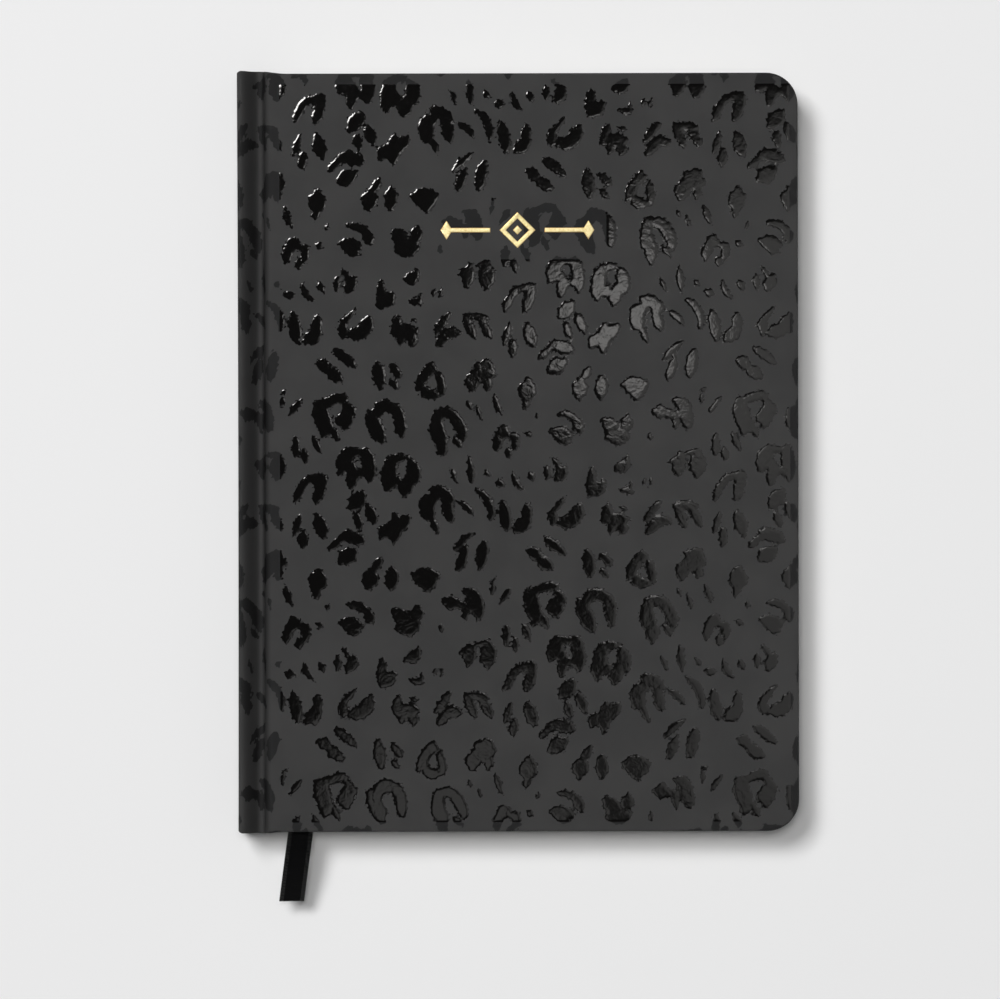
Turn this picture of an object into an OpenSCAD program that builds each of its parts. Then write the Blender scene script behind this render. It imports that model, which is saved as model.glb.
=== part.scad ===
// Case-bound journal with round fore-edge corners, an animal-spot print under gloss varnish,
// a stamped foil device and a ribbon marker.
// X runs from the spine to the fore-edge, Y from tail to head and Z up from the back cover.
// The origin is the centre of the back cover's outer face.

/* [Case] */
// Width from the spine's outer face to the fore-edge of the boards
case_w = 159; // [120:1:220]
// Height of the boards from tail to head
case_h = 215; // [160:1:300]
// Thickness of the closed book
book_t = 17; // [12:0.5:30]
// Radius of the fore-edge corners of the boards
corner_r = 9; // [4:0.5:14]
// How far the spine strip stands past the boards at head and tail
spine_over = 0.5; // [0.1:0.1:1.5]

/* [Boards] */
// Thickness of the greyboard in both covers
board_t = 2.2; // [1.6:0.1:3]
// Radius of the softened edges of the greyboard
board_edge_r = 0.3; // [0.1:0.05:0.6]
// Thickness of the strip of board in the spine
spine_board_t = 1.6; // [1.2:0.1:2]
// Clearance between the spine strip and the back of the pages, where the spine is hollow
hollow = 0.35; // [0.1:0.05:0.8]

/* [Joint] */
// Distance from the spine's outer face to the near edge of the boards
joint_w = 8.6; // [8.2:0.1:12]
// Width of the slope from the ridge of the spine down into the groove
slope_w = 4.5; // [3.5:0.1:5.2]
// Clearance between the groove paper and the near edge of a cover
joint_gap = 0.4; // [0.3:0.05:0.8]

/* [Papers] */
// Thickness of the printed covering paper
paper_t = 0.25; // [0.15:0.05:0.4]
// Width of the covering paper turned in round a board
turn_in = 15; // [10:1:22]
// Thickness of an endpaper
endpaper_t = 0.15; // [0.1:0.01:0.25]
// Thickness of the mull, the open cloth glued over the back of the pages
mull_t = 0.3; // [0.2:0.05:0.5]
// Thickness of the brown paper glued over the mull
liner_t = 0.15; // [0.1:0.01:0.3]
// How far the brown paper and the mull stop short of what lies past their ends
liner_short = 1; // [0.5:0.5:5]

/* [Pages] */
// How far the boards stand past the pages on three sides
square_w = 3; // [1.5:0.1:5]
// Radius of the fore-edge corners of the pages
page_corner_r = 6; // [2:0.5:12]
// Room between the front cover and its flyleaf, where the ribbon lies
ribbon_room = 0.3; // [0.25:0.05:0.6]

/* [Bands] */
// Diameter of the bead of a head band
bead_d = 1.8; // [1:0.1:2.4]
// Height of the tape below the bead
band_tape_h = 8; // [4:0.5:12]

/* [Ribbon] */
// Width of the ribbon marker
ribbon_w = 6.8; // [4:0.1:10]
// Thickness of the ribbon marker
ribbon_t = 0.2; // [0.1:0.05:0.25]
// Clearance between the joint's papers and the ribbon at the head
ribbon_clear = 0.4; // [0.2:0.1:3]
// Distance from the spine's outer face to the middle of the ribbon at the tail
ribbon_exit_x = 17.9; // [16:0.1:40]
// How far the ribbon reaches past the tail of the boards
ribbon_out = 19.4; // [5:0.1:60]
// How far the ribbon's tip hangs below where it leaves the pages
ribbon_drop = 7.2; // [1:0.1:9]

/* [Varnish] */
// Height of the gloss varnish over the paper
film_t = 0.08; // [0.05:0.01:0.2]
// Margin without varnish along head and tail of the cover
film_margin = 3.1; // [1:0.1:10]
// Margin without varnish along the fore-edge
film_margin_fore = 2.3; // [1:0.1:10]
// Margin without varnish along the joint
film_margin_joint = 2.7; // [1.4:0.1:10]
// Sideways step from one column of the print to the next
print_step_x = 59.5; // [50:0.5:80]
// Drop from one column of the print to the next
print_drop = 53.5; // [40:0.5:70]
// Height after which a column of the print repeats
print_repeat = 107.5; // [90:0.5:140]

/* [Foil] */
// Height of the foil over the paper
foil_t = 0.05; // [0.03:0.01:0.1]
// Width of the foil device
foil_w = 43.6; // [30:0.2:70]
// Height of the foil device
foil_h = 10.2; // [7:0.2:20]
// Width of the foil lines
foil_line = 1.3; // [0.8:0.1:1.8]
// Height of the middle of the foil device over the middle of the cover
foil_y = 63; // [-60:1:70]
// Bare margin left and right of the foil device
foil_room_x = 3.4; // [1:0.1:8]
// Bare margin above and below the foil device
foil_room_y = 3.2; // [1:0.1:8]

/* [Hidden] */
$fn = 48;

// Strokes of one repeat of the print: x, y, length, width, direction and bend in degrees
PRINT = [
    // Arches, rings and horseshoes
    [-61.6, -10.6, 7.8, 2.6, 62, -12], [-57.6, -7.3, 6.0, 2.4, 12, -25], [-56.2, -10.4, 8.6, 3.1, 74, 12],
    [-25.8, 91.6, 7.6, 4.3, 94, -20], [-23.6, 86.8, 5.0, 1.9, 112, 0], [-21.3, 95.9, 7.8, 3.5, -28, -22],
    [-19.8, 90.9, 7.0, 3.0, 105, 0], [-49.2, -2.3, 8.0, 4.2, 70, 0], [-42.4, -3.6, 10.4, 3.9, 95, 8],
    [-46.0, 0.2, 5.8, 2.0, -4, 0], [-47.0, -6.6, 7.6, 3.0, 85, 0], [-45.2, -5.8, 4.8, 1.7, 0, 0],
    [-55.5, 10.0, 10.2, 4.7, 106, 0], [-55.0, 5.6, 3.0, 1.9, 80, 0], [-51.9, 5.5, 4.6, 2.0, 115, 0],
    [-53.4, 14.7, 8.0, 2.4, 20, -10], [-50.2, 15.6, 4.4, 2.2, 0, 0], [-47.6, 12.6, 5.2, 2.4, -48, 0],
    [-48.8, 9.2, 6.0, 4.1, 95, 0], [-40.4, 7.2, 10.6, 4.4, 114, 0], [-36.8, 13.1, 8.8, 3.2, -18, -25],
    [-33.4, 8.4, 8.8, 3.4, 95, 0], [-27.0, 20.6, 7.8, 3.0, 65, 0], [-24.4, 24.0, 3.6, 3.0, 85, 0],
    [-21.8, 19.6, 6.8, 2.5, 100, 0], [-24.5, 16.4, 5.0, 3.0, 0, 0], [-14.4, 35.6, 7.6, 2.2, 105, 0],
    [-10.6, 37.8, 5.4, 1.9, -20, 0], [-9.1, 35.2, 6.8, 2.4, 117, 0], [-13.9, 50.1, 7.0, 3.5, 82, 0],
    [-15.7, 50.9, 2.4, 1.7, 20, 0], [-10.4, 53.4, 4.0, 1.6, 20, 0], [-8.6, 50.0, 7.8, 4.6, 85, 0],
    [-65.0, 57.4, 8.0, 2.8, 70, -28], [-63.0, 59.2, 3.6, 2.4, -40, 0], [-60.1, 56.4, 4.8, 2.2, 85, 0],
    [-60.8, 58.1, 2.4, 1.2, 0, 0], [-62.1, 53.4, 3.4, 2.1, 95, 0], [-43.9, 63.3, 9.8, 2.3, -38, -95],
    [-42.3, 60.6, 3.2, 2.7, 100, 0],
    // Wide patches with wings
    [-35.0, 86.0, 9.0, 3.5, 85, 0], [-32.6, 87.6, 6.0, 3.3, 50, 0], [-38.0, 85.0, 4.8, 3.5, 65, 0],
    [-47.0, 83.4, 7.6, 3.7, -16, -15], [-51.8, 81.6, 5.2, 2.2, 42, 0], [-48.4, 78.0, 6.6, 4.5, 32, 0],
    [-45.7, 93.8, 7.0, 4.2, 50, 0], [-26.3, 72.6, 8.2, 4.6, 0, 0], [-25.8, 69.8, 4.0, 3.6, 90, 0],
    [-33.3, 61.0, 6.4, 4.2, -42, 0], [-28.7, 61.7, 5.4, 3.5, 75, 0], [-31.3, 57.8, 7.2, 4.8, 4, 0],
    [-47.4, 58.8, 7.0, 4.0, -12, 0], [-46.6, 56.5, 3.8, 2.0, -12, 0], [-12.9, 20.1, 6.2, 4.2, 82, 0],
    [-9.4, 23.6, 6.8, 5.8, -25, 0], [-8.5, 19.4, 3.8, 2.4, 80, 0], [-31.9, 34.4, 7.8, 4.0, 0, 0],
    [-34.4, 36.2, 5.8, 2.7, 78, 0], [-33.2, 31.8, 3.2, 1.9, 80, 0], [-29.8, 31.8, 3.6, 2.6, 80, 0],
    [-45.6, 33.7, 6.0, 3.8, 10, 0], [-48.4, 38.0, 7.4, 1.7, 48, 0], [-49.6, 34.8, 4.8, 2.3, 85, 0],
    [-42.9, 35.8, 6.6, 3.8, 70, 0], [-19.2, 64.9, 4.8, 4.2, -10, 0], [-16.2, 64.2, 5.2, 2.5, -25, 0],
    [-13.4, 67.6, 4.8, 2.8, -20, 0], [-11.9, 64.2, 8.8, 4.1, 102, 0], [-15.0, 61.5, 3.6, 1.7, 95, 0],
    [-38.8, 45.0, 8.2, 2.6, 86, 0], [-36.8, 43.3, 5.6, 4.0, 48, 0],
    // Limbs and bars
    [-36.6, -6.0, 10.6, 4.3, 82, -8], [-29.6, -5.2, 7.6, 3.9, 105, 0], [-31.9, -9.8, 5.8, 4.0, 80, 0],
    [-22.9, 8.6, 7.0, 3.4, 95, 0], [-21.7, 3.2, 8.6, 3.6, 92, 0], [-22.2, 10.8, 3.4, 1.8, 80, 0],
    [-16.9, 8.4, 10.4, 3.5, -60, -38], [-17.2, 2.9, 4.2, 1.8, -52, 0], [-63.2, 35.4, 9.0, 3.3, 99, 0],
    [-57.0, 35.6, 7.0, 2.9, 88, 0], [-58.5, 32.6, 5.4, 3.8, 38, 0], [-62.6, 87.0, 7.0, 2.0, 72, 0],
    [-60.9, 82.9, 5.4, 2.5, 85, 0], [-42.0, 71.5, 6.6, 4.6, 82, 0], [-40.0, 75.8, 4.6, 2.3, 62, 0],
    [-56.8, 71.1, 7.4, 5.0, 86, 0], [-57.3, 67.1, 2.8, 1.7, 80, 0], [-35.9, 71.9, 7.0, 3.6, 88, 0],
    [-10.3, 78.5, 8.8, 3.3, 79, -10], [-16.0, 81.9, 7.0, 1.6, 52, -25], [-15.9, 77.2, 7.2, 2.7, 70, 0],
    [-39.4, 22.0, 8.4, 3.5, 97, 0], [-34.5, 23.2, 5.0, 2.3, -52, -20], [-35.0, 19.3, 3.8, 1.9, -48, 0],
    [-55.1, 25.0, 4.6, 3.4, -25, 0], [-52.0, 22.0, 6.0, 3.4, -32, 0], [-49.0, 26.9, 8.2, 2.7, -38, -10],
    [-21.4, 36.7, 7.4, 2.4, 53, 0], [-20.8, 32.7, 6.8, 2.8, 48, 0], [-18.0, 34.0, 4.4, 2.6, -12, 0],
    [-47.4, 47.4, 5.6, 3.4, 62, 0], [-48.8, 50.7, 3.8, 1.4, -50, 0], [-56.0, 86.7, 7.6, 3.6, 107, 0],
    // Small strokes and dots
    [-41.6, 90.0, 6.2, 3.0, 112, 0], [-45.4, 88.0, 4.8, 2.2, 108, -20], [-14.4, 91.8, 6.4, 2.0, -43, -35],
    [-8.3, 93.4, 10.6, 2.2, -65, -72], [-13.4, -5.0, 7.8, 2.1, 96, 0], [-18.2, -6.6, 4.4, 1.3, 112, 0],
    [-65.3, 66.9, 6.4, 1.9, 110, -15], [-59.6, 45.4, 6.8, 1.6, -58, 50], [-55.8, 46.8, 3.4, 2.0, 115, 0],
    [-51.3, 47.8, 4.4, 2.0, 90, 0], [-64.7, 44.7, 3.2, 2.3, -15, 0], [-8.7, -6.0, 2.6, 1.6, -50, 0],
    [-54.0, 63.8, 2.2, 1.1, 75, 0], [-56.3, 58.6, 2.4, 1.7, -30, 0], [-22.0, 57.7, 2.8, 1.3, 100, 0],
    [-30.2, 49.3, 4.6, 3.5, 15, 0], [-28.6, 51.0, 2.8, 1.4, 80, 0], [-29.0, 42.6, 4.0, 1.8, -15, 0],
    [-27.5, 43.9, 2.6, 1.0, 88, 0], [-23.8, 45.2, 2.0, 1.0, 80, 0], [-21.8, 45.1, 2.4, 1.0, 75, 0],
    [-63.1, 12.9, 5.8, 1.7, 53, 0], [-66.9, 14.8, 3.2, 1.3, 85, 0], [-66.3, 17.4, 1.8, 0.9, 30, 0],
    [-13.8, 13.6, 2.4, 1.0, 110, 0], [-11.0, 11.2, 4.4, 1.0, 107, 0], [-63.0, 1.6, 6.0, 2.2, 88, 0],
    [-60.4, -1.0, 4.4, 2.1, 98, 0], [-57.2, 2.4, 5.8, 2.0, 115, 0], [-29.6, 37.6, 2.4, 1.3, -20, 0]
];

spine_x = -case_w / 2;
fore_x = case_w / 2;
board_x = spine_x + joint_w;
cover_w = case_w - joint_w;
cover_t = board_t + 2 * paper_t + endpaper_t;
// The spine's layers, from the printed paper in to the back of the pages
page_x = 2 * paper_t + spine_board_t + hollow + liner_t + mull_t;
page_w = case_w - square_w - page_x;
page_h = case_h - 2 * square_w;
block_top = book_t - cover_t - ribbon_room;
block_t = block_top - cover_t;
strip_h = case_h + 2 * spine_over;
ridge_r = spine_board_t / 2 + paper_t;
groove_end = joint_w - joint_gap;
// The joint's papers lie one on the other on the flyleaf, so they give the groove its depth
groove_d_back = cover_t - endpaper_t - mull_t - paper_t;
groove_d_front = groove_d_back + ribbon_room;
curve_steps = 10;
lap = 0.01;
// Thinner strokes get pointed ends, and shorter ones are too small to varnish
thin_stroke = 2.2;
least_stroke = 3;

paper_colour = [0.24, 0.24, 0.24];
board_colour = [0.55, 0.53, 0.50];
page_colour = [0.95, 0.94, 0.90];
endpaper_colour = [0.93, 0.92, 0.88];

// Puts what is drawn on the back cover on the front one
module on_front() {
    translate([0, 0, book_t])
        mirror([0, 0, 1])
            children();
}

// Sheet outline from x0 rightwards, with round corners at the fore-edge only
module sheet(x0, w, h, r) {
    translate([x0, -h / 2])
        square([w - r, h]);
    translate([x0, -h / 2 + r])
        square([w, h - 2 * r]);
    for (side = [-1, 1])
        translate([x0 + w - r, side * (h / 2 - r)])
            circle(r);
}

// Section through the rim of a slab, from 0 to w, with a round outer edge
module rim_section(w, t, r) {
    square([w - r, t]);
    translate([0, r])
        square([w, t - 2 * r]);
    for (z = [r, t - r])
        translate([w - r, z])
            circle(r);
}

// Slab of one cover: the rim's section is carried along three sides and round two corners
module slab(x0, w, h, t, corner, edge) {
    far = x0 + w - corner;
    translate([x0, -h / 2 + corner, 0])
        cube([w - corner, h - 2 * corner, t]);
    translate([far, h / 2 - corner, 0])
        rotate([90, 0, 0])
            linear_extrude(h - 2 * corner)
                rim_section(corner, t, edge);
    for (side = [0, 1])
        mirror([0, side, 0])
            translate([0, h / 2 - corner, 0]) {
                translate([far, 0, 0])
                    rotate([0, 0, 90])
                        rotate([90, 0, 0])
                            mirror([0, 0, 1])
                                linear_extrude(w - corner)
                                    rim_section(corner, t, edge);
                translate([far, 0, 0])
                    rotate_extrude(angle = 90)
                        rim_section(corner, t, edge);
            }
}

module cover_board() {
    translate([0, 0, paper_t])
        slab(
            board_x + paper_t, cover_w - 2 * paper_t, case_h - 2 * paper_t,
            board_t, corner_r - paper_t, board_edge_r
        );
}

// Covering paper: a skin round the board, open inside the turn-ins
module cover_wrap() {
    skin_t = board_t + 2 * paper_t;
    window_w = cover_w - turn_in;
    difference() {
        slab(board_x, cover_w, case_h, skin_t, corner_r, board_edge_r + paper_t);
        cover_board();
        translate([board_x - 1, -case_h / 2 + turn_in, skin_t - paper_t - lap])
            cube([window_w + 1, case_h - 2 * turn_in, 1]);
    }
}

// Endpaper glued inside a cover, sunk between the turn-ins
module cover_pastedown() {
    inner_w = cover_w - turn_in - paper_t;
    inner_h = case_h - 2 * turn_in;
    full_w = cover_w - square_w - paper_t;
    start = board_x + paper_t;
    low = paper_t + board_t;
    translate([0, 0, low + paper_t])
        linear_extrude(endpaper_t)
            difference() {
                sheet(start, full_w, page_h, page_corner_r);
                translate([start - 1, -inner_h / 2 + endpaper_t])
                    square([inner_w + 1 - endpaper_t, inner_h - 2 * endpaper_t]);
            }
    translate([0, 0, low])
        linear_extrude(endpaper_t)
            translate([start, -inner_h / 2])
                square([inner_w, inner_h]);
    translate([0, 0, low])
        linear_extrude(paper_t + endpaper_t)
            difference() {
                translate([start, -inner_h / 2])
                    square([inner_w, inner_h]);
                translate([start - 1, -inner_h / 2 + endpaper_t])
                    square([inner_w + 1 - endpaper_t, inner_h - 2 * endpaper_t]);
            }
}

module pages() {
    color(page_colour)
        translate([0, 0, cover_t + endpaper_t])
            linear_extrude(block_t - 2 * endpaper_t)
                sheet(spine_x + page_x, page_w, page_h, page_corner_r);
}

// Free leaf of an endpaper, with its folded strip that crosses the joint
module flyleaf() {
    linear_extrude(endpaper_t)
        sheet(spine_x + page_x, page_w, page_h, page_corner_r);
    translate([spine_x + page_x, -page_h / 2, endpaper_t])
        cube([groove_end - page_x, page_h, endpaper_t]);
}

module front_flyleaf() {
    color(endpaper_colour)
        translate([0, 0, block_top - endpaper_t])
            flyleaf();
}

module back_flyleaf() {
    color(endpaper_colour)
        translate([0, 0, cover_t + endpaper_t])
            mirror([0, 0, 1])
                flyleaf();
}

// Open cloth round the back of the pages, with a flange across each joint
module mull() {
    flange_w = groove_end - page_x + mull_t;
    low = cover_t - endpaper_t - mull_t;
    high = block_top + endpaper_t;
    height = page_h - 2 * (band_tape_h + liner_short);
    color([0.86, 0.84, 0.78])
        translate([spine_x + page_x - mull_t, height / 2, 0])
            rotate([90, 0, 0])
                linear_extrude(height) {
                    translate([0, low])
                        square([mull_t, high + mull_t - low]);
                    for (z = [low, high])
                        translate([0, z])
                            square([flange_w, mull_t]);
                }
}

module spine_liner() {
    color([0.66, 0.54, 0.38])
        translate([spine_x + page_x - mull_t - liner_t, -page_h / 2 + liner_short, cover_t])
            cube([liner_t, page_h - 2 * liner_short, block_t]);
}

// Band with a round bead over the end of the pages and a tape glued to their back
module band(side) {
    color([0.12, 0.12, 0.12])
        mirror([0, side < 0 ? 1 : 0, 0])
            translate([spine_x + page_x, page_h / 2, cover_t]) {
                translate([bead_d / 2 - mull_t, bead_d / 2, 0])
                    cylinder(d = bead_d, h = block_t);
                translate([-mull_t, -band_tape_h, 0])
                    cube([mull_t, band_tape_h + bead_d / 2, block_t]);
            }
}

module head_band() {
    band(1);
}

module tail_band() {
    band(-1);
}

function unit(v) = v / norm(v);

function on_curve(a, b, c, u) = (1 - u) * (1 - u) * a + 2 * u * (1 - u) * b + u * u * c;

// Stations of the ribbon: a point of its middle and the way its upper face looks.
// It climbs the head of the pages, folds over their edge, crosses the flyleaf in a long
// bow and hangs out at the tail.
function ribbon_route() =
    let (
        head_x = joint_w + ribbon_clear + ribbon_w / 2,
        y_head = page_h / 2,
        low = [head_x - 5.5, cover_t + block_t * 0.42],
        knee = [head_x, cover_t + block_t * 0.7],
        high = [head_x, block_top - ribbon_t],
        fold_r = ribbon_t * 0.75,
        lean = 0.14,
        z_flat = block_top + ribbon_t / 2,
        y_out = case_h / 2 + ribbon_out
    )
        concat(
            [
                for (u = [0 : 0.25 : 1])
                    let (q = on_curve(low, knee, high, u))
                        [[q[0], y_head + ribbon_t / 2, q[1]], [0, 1, 0]]
            ],
            [
                for (a = [0, 45, 90])
                    let (out = [0, cos(a), sin(a)])
                        [[head_x, y_head, block_top] + fold_r * out, out]
            ],
            [
                for (i = [1 : 14])
                    let (
                        u = i / 14,
                        bow = (1 - u) * (1 - u) * u * 24 + (1 - u) * u * u * lean * page_h,
                        x = head_x + (3 - 2 * u) * u * u * (ribbon_exit_x - head_x) + bow
                    )
                        [[x, y_head - u * page_h, z_flat], [0, 0, 1]]
            ],
            [
                for (i = [1 : 8])
                    let (
                        u = i / 8,
                        y = u * (y_out - y_head),
                        slope = 1.8 * ribbon_drop / (y_out - y_head) * pow(u, 0.8)
                    )
                        [
                            [ribbon_exit_x - lean * y, -y_head - y, z_flat - ribbon_drop * pow(u, 1.8)],
                            unit([0, -slope, 1])
                        ]
            ]
        );

module ribbon_marker() {
    route = ribbon_route();
    last = len(route) - 1;
    points = [
        for (i = [0 : last])
            let (
                along = route[min(i + 1, last)][0] - route[max(i - 1, 0)][0],
                up = route[i][1] * ribbon_t / 2,
                side = unit(cross(along, route[i][1])) * ribbon_w / 2
            )
                for (q = [side + up, -side + up, -side - up, side - up])
                    route[i][0] + q
    ];
    walls = [
        for (i = [0 : last - 1], k = [0 : 3])
            let (a = 4 * i + k, b = 4 * i + (k + 1) % 4)
                [a, a + 4, b + 4, b]
    ];
    ends = [[0, 1, 2, 3], [4 * last + 3, 4 * last + 2, 4 * last + 1, 4 * last]];
    color([0.04, 0.04, 0.04])
        translate([spine_x, 0, 0])
            polyhedron(points, concat(walls, ends));
}

module spine_board() {
    r = spine_board_t / 2;
    color(board_colour)
        translate([spine_x + paper_t + r, case_h / 2, 0])
            rotate([90, 0, 0])
                linear_extrude(case_h) {
                    translate([-r, paper_t + r])
                        square([spine_board_t, book_t - 2 * paper_t - 2 * r]);
                    for (z = [paper_t + r, book_t - paper_t - r])
                        translate([0, z])
                            circle(r);
                }
}

// Depth of the cover paper under the ridge, falling smoothly into the groove
function groove_fall(u, depth) = depth * (3 - 2 * u) * u * u;

// Outer face of the paper over half the spine, from the groove's end to the spine's flat
function half_spine(depth) = concat(
    [[groove_end, depth]],
    [
        for (i = [curve_steps : -1 : 1])
            let (u = i / curve_steps)
                [ridge_r + u * slope_w, groove_fall(u, depth)]
    ],
    [
        for (i = [0 : curve_steps])
            let (a = 90 - i * 90 / curve_steps)
                [ridge_r - ridge_r * cos(a), ridge_r - ridge_r * sin(a)]
    ]
);

function turned(v) = [-v[1], v[0]] / norm(v);

// The path moved inwards by the paper's thickness, square to its own direction
function inner_face(path, t) = [
    for (i = [0 : len(path) - 1])
        let (a = path[max(i - 1, 0)], b = path[min(i + 1, len(path) - 1)])
            path[i] + t * turned(b - a)
];

module spine_wrap() {
    front = [for (p = half_spine(groove_d_front)) [p[0], book_t - p[1]]];
    back = half_spine(groove_d_back);
    outer = concat(front, [for (i = [len(back) - 1 : -1 : 0]) back[i]]);
    inner = inner_face(outer, paper_t);
    cap_w = spine_board_t + paper_t;
    cap_z = [ridge_r, book_t - 2 * ridge_r];
    color(paper_colour)
        translate([spine_x, strip_h / 2, 0])
            rotate([90, 0, 0])
                linear_extrude(strip_h)
                    polygon(concat(outer, [for (i = [len(inner) - 1 : -1 : 0]) inner[i]]));
    color(paper_colour)
        for (side = [0, 1])
            mirror([0, side, 0]) {
                translate([spine_x + lap, case_h / 2, cap_z[0]])
                    cube([cap_w, spine_over, cap_z[1]]);
                translate([spine_x + cap_w, case_h / 2 - turn_in, cap_z[0]])
                    cube([paper_t, turn_in + spine_over, cap_z[1]]);
            }
}

// Outline of one brush stroke, bent along an arc, with blunt ends or, where it is thin, pointed ones
function stroke(p) =
    let (
        bend = abs(p[5]) < 1 ? 1 : p[5],
        radius = p[2] / bend * 180 / PI,
        steps = abs(bend) > 20 ? [-1, -0.42, 0.42, 1] : [-1, 0, 1],
        last = len(steps) - 1,
        on_arc = [for (s = steps) radius * [sin(bend / 2 * s), 1 - cos(bend / 2 * s)]],
        half = [
            for (s = steps)
                p[3] / 2 * (abs(s) == 1 ? 0.48 : 1) * [-sin(bend / 2 * s), cos(bend / 2 * s)]
        ],
        first = p[3] < thin_stroke ? 1 : 0,
        tips = first == 1 ? [on_arc[0], on_arc[last]] : [],
        outline = concat(
            first == 1 ? [tips[0]] : [],
            [for (i = [first : last - first]) on_arc[i] - half[i]],
            first == 1 ? [tips[1]] : [],
            [for (i = [last - first : -1 : first]) on_arc[i] + half[i]]
        ),
        c = cos(p[4]),
        s = sin(p[4])
    )
        [for (q = outline) [p[0] + q[0] * c - q[1] * s, p[1] + q[0] * s + q[1] * c]];

// Area of the varnish: the front cover within its margins, less the room for the foil device
module film_area() {
    x0 = board_x + film_margin_joint;
    difference() {
        translate([x0, -case_h / 2 + film_margin])
            square([fore_x - film_margin_fore - x0, case_h - 2 * film_margin]);
        translate([-foil_w / 2 - foil_room_x, foil_y - foil_h / 2 - foil_room_y])
            square([foil_w + 2 * foil_room_x, foil_h + 2 * foil_room_y]);
    }
}

// The printed strokes of the front cover, in repeats that each drop by half a step
module print_strokes() {
    reach = 6;
    for (column = [-2 : 2], row = [-2 : 2])
        let (dx = column * print_step_x, dy = row * print_repeat - column * print_drop)
            for (p = PRINT)
                let (x = p[0] + dx, y = p[1] + dy)
                    if (p[2] > least_stroke && x > board_x - reach && x < fore_x + reach)
                        if (abs(y) < case_h / 2 + reach)
                            translate([dx, dy])
                                polygon(stroke(p));
}

module gloss_spots() {
    color([0.03, 0.03, 0.03])
        translate([0, 0, book_t])
            linear_extrude(film_t)
                intersection() {
                    print_strokes();
                    film_area();
                }
}

// Lozenge with a long and a short diagonal
module lozenge(w, h) {
    polygon([[-w / 2, 0], [0, -h / 2], [w / 2, 0], [0, h / 2]]);
}

// Stamped device: an open lozenge between two rules that end in small lozenges
module foil_device() {
    inner = foil_h - foil_line * 2 * sqrt(2);
    small = foil_line * 2.6;
    rule_w = (foil_w - foil_h) / 2 - 3 * foil_line;
    color([0.86, 0.74, 0.45])
        translate([0, foil_y, book_t])
            linear_extrude(foil_t) {
                difference() {
                    lozenge(foil_h, foil_h);
                    lozenge(inner, inner);
                }
                lozenge(foil_line * 2, foil_line * 2);
                for (side = [-1, 1]) {
                    translate([side * (foil_h / 2 + 2 * foil_line + rule_w / 2), 0])
                        square([rule_w, foil_line], center = true);
                    translate([side * (foil_w / 2 - small / 2), 0])
                        lozenge(small, small * 1.6);
                }
            }
}

module front_board() {
    color(board_colour)
        on_front()
            cover_board();
}

module back_board() {
    color(board_colour)
        cover_board();
}

module front_wrap() {
    color(paper_colour)
        on_front()
            cover_wrap();
}

module back_wrap() {
    color(paper_colour)
        cover_wrap();
}

module front_pastedown() {
    color(endpaper_colour)
        on_front()
            cover_pastedown();
}

module back_pastedown() {
    color(endpaper_colour)
        cover_pastedown();
}

pages();
front_flyleaf();
back_flyleaf();
mull();
spine_liner();
head_band();
tail_band();
spine_board();
spine_wrap();
ribbon_marker();
front_board();
front_wrap();
front_pastedown();
gloss_spots();
foil_device();
back_board();
back_wrap();
back_pastedown();
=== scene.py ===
import math

import bpy
import numpy as np
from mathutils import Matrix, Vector


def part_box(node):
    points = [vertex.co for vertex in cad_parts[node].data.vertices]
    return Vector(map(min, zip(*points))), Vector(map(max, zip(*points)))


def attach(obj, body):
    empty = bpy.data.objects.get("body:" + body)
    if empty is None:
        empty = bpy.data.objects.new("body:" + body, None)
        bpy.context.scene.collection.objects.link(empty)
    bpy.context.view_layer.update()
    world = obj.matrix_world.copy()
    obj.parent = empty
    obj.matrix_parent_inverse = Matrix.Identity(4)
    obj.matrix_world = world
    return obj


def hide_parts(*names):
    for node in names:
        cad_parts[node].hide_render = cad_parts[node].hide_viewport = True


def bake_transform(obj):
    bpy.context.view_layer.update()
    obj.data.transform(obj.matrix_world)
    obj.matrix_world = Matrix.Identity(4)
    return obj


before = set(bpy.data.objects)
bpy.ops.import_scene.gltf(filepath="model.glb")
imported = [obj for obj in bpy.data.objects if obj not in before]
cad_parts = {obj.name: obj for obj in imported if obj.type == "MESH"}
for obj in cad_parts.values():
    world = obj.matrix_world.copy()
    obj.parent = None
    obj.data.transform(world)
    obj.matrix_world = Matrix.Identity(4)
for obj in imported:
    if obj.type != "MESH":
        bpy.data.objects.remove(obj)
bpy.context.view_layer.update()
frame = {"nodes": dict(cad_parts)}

# All lengths are in millimetres. The book's sizes are those of the part's source.
MM = 0.001
CASE_W, CASE_H, BOOK_T = 159.0, 215.0, 17.0
SPINE_X, FORE_X = -CASE_W / 2, CASE_W / 2
BOARD_T, PAPER_T, ENDPAPER_T, MULL_T, SPINE_BOARD_T = 2.2, 0.25, 0.15, 0.3, 1.6
COVER_T = BOARD_T + 2 * PAPER_T + ENDPAPER_T
JOINT_W, GROOVE_END, SLOPE_W = 8.6, 8.2, 4.5
RIDGE_R = SPINE_BOARD_T / 2 + PAPER_T
RIBBON_ROOM = 0.3
GROOVE_D = COVER_T + RIBBON_ROOM - ENDPAPER_T - MULL_T - PAPER_T
SQUARE_W, PAGE_X, PAGE_CORNER_R = 3.0, 2.9, 6.0
PAGE_FORE, PAGE_H = CASE_W - SQUARE_W, CASE_H - 2 * SQUARE_W
BLOCK_TOP = BOOK_T - COVER_T - RIBBON_ROOM
BEAD_R, THREAD_T = 0.9, 0.09

# The covers' fore-edge corners, and the round of the paper's hem over the edge of a board
CORNER_R, HEM_R = 9.0, 0.55
CORNER_X = CASE_W - CORNER_R

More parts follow.
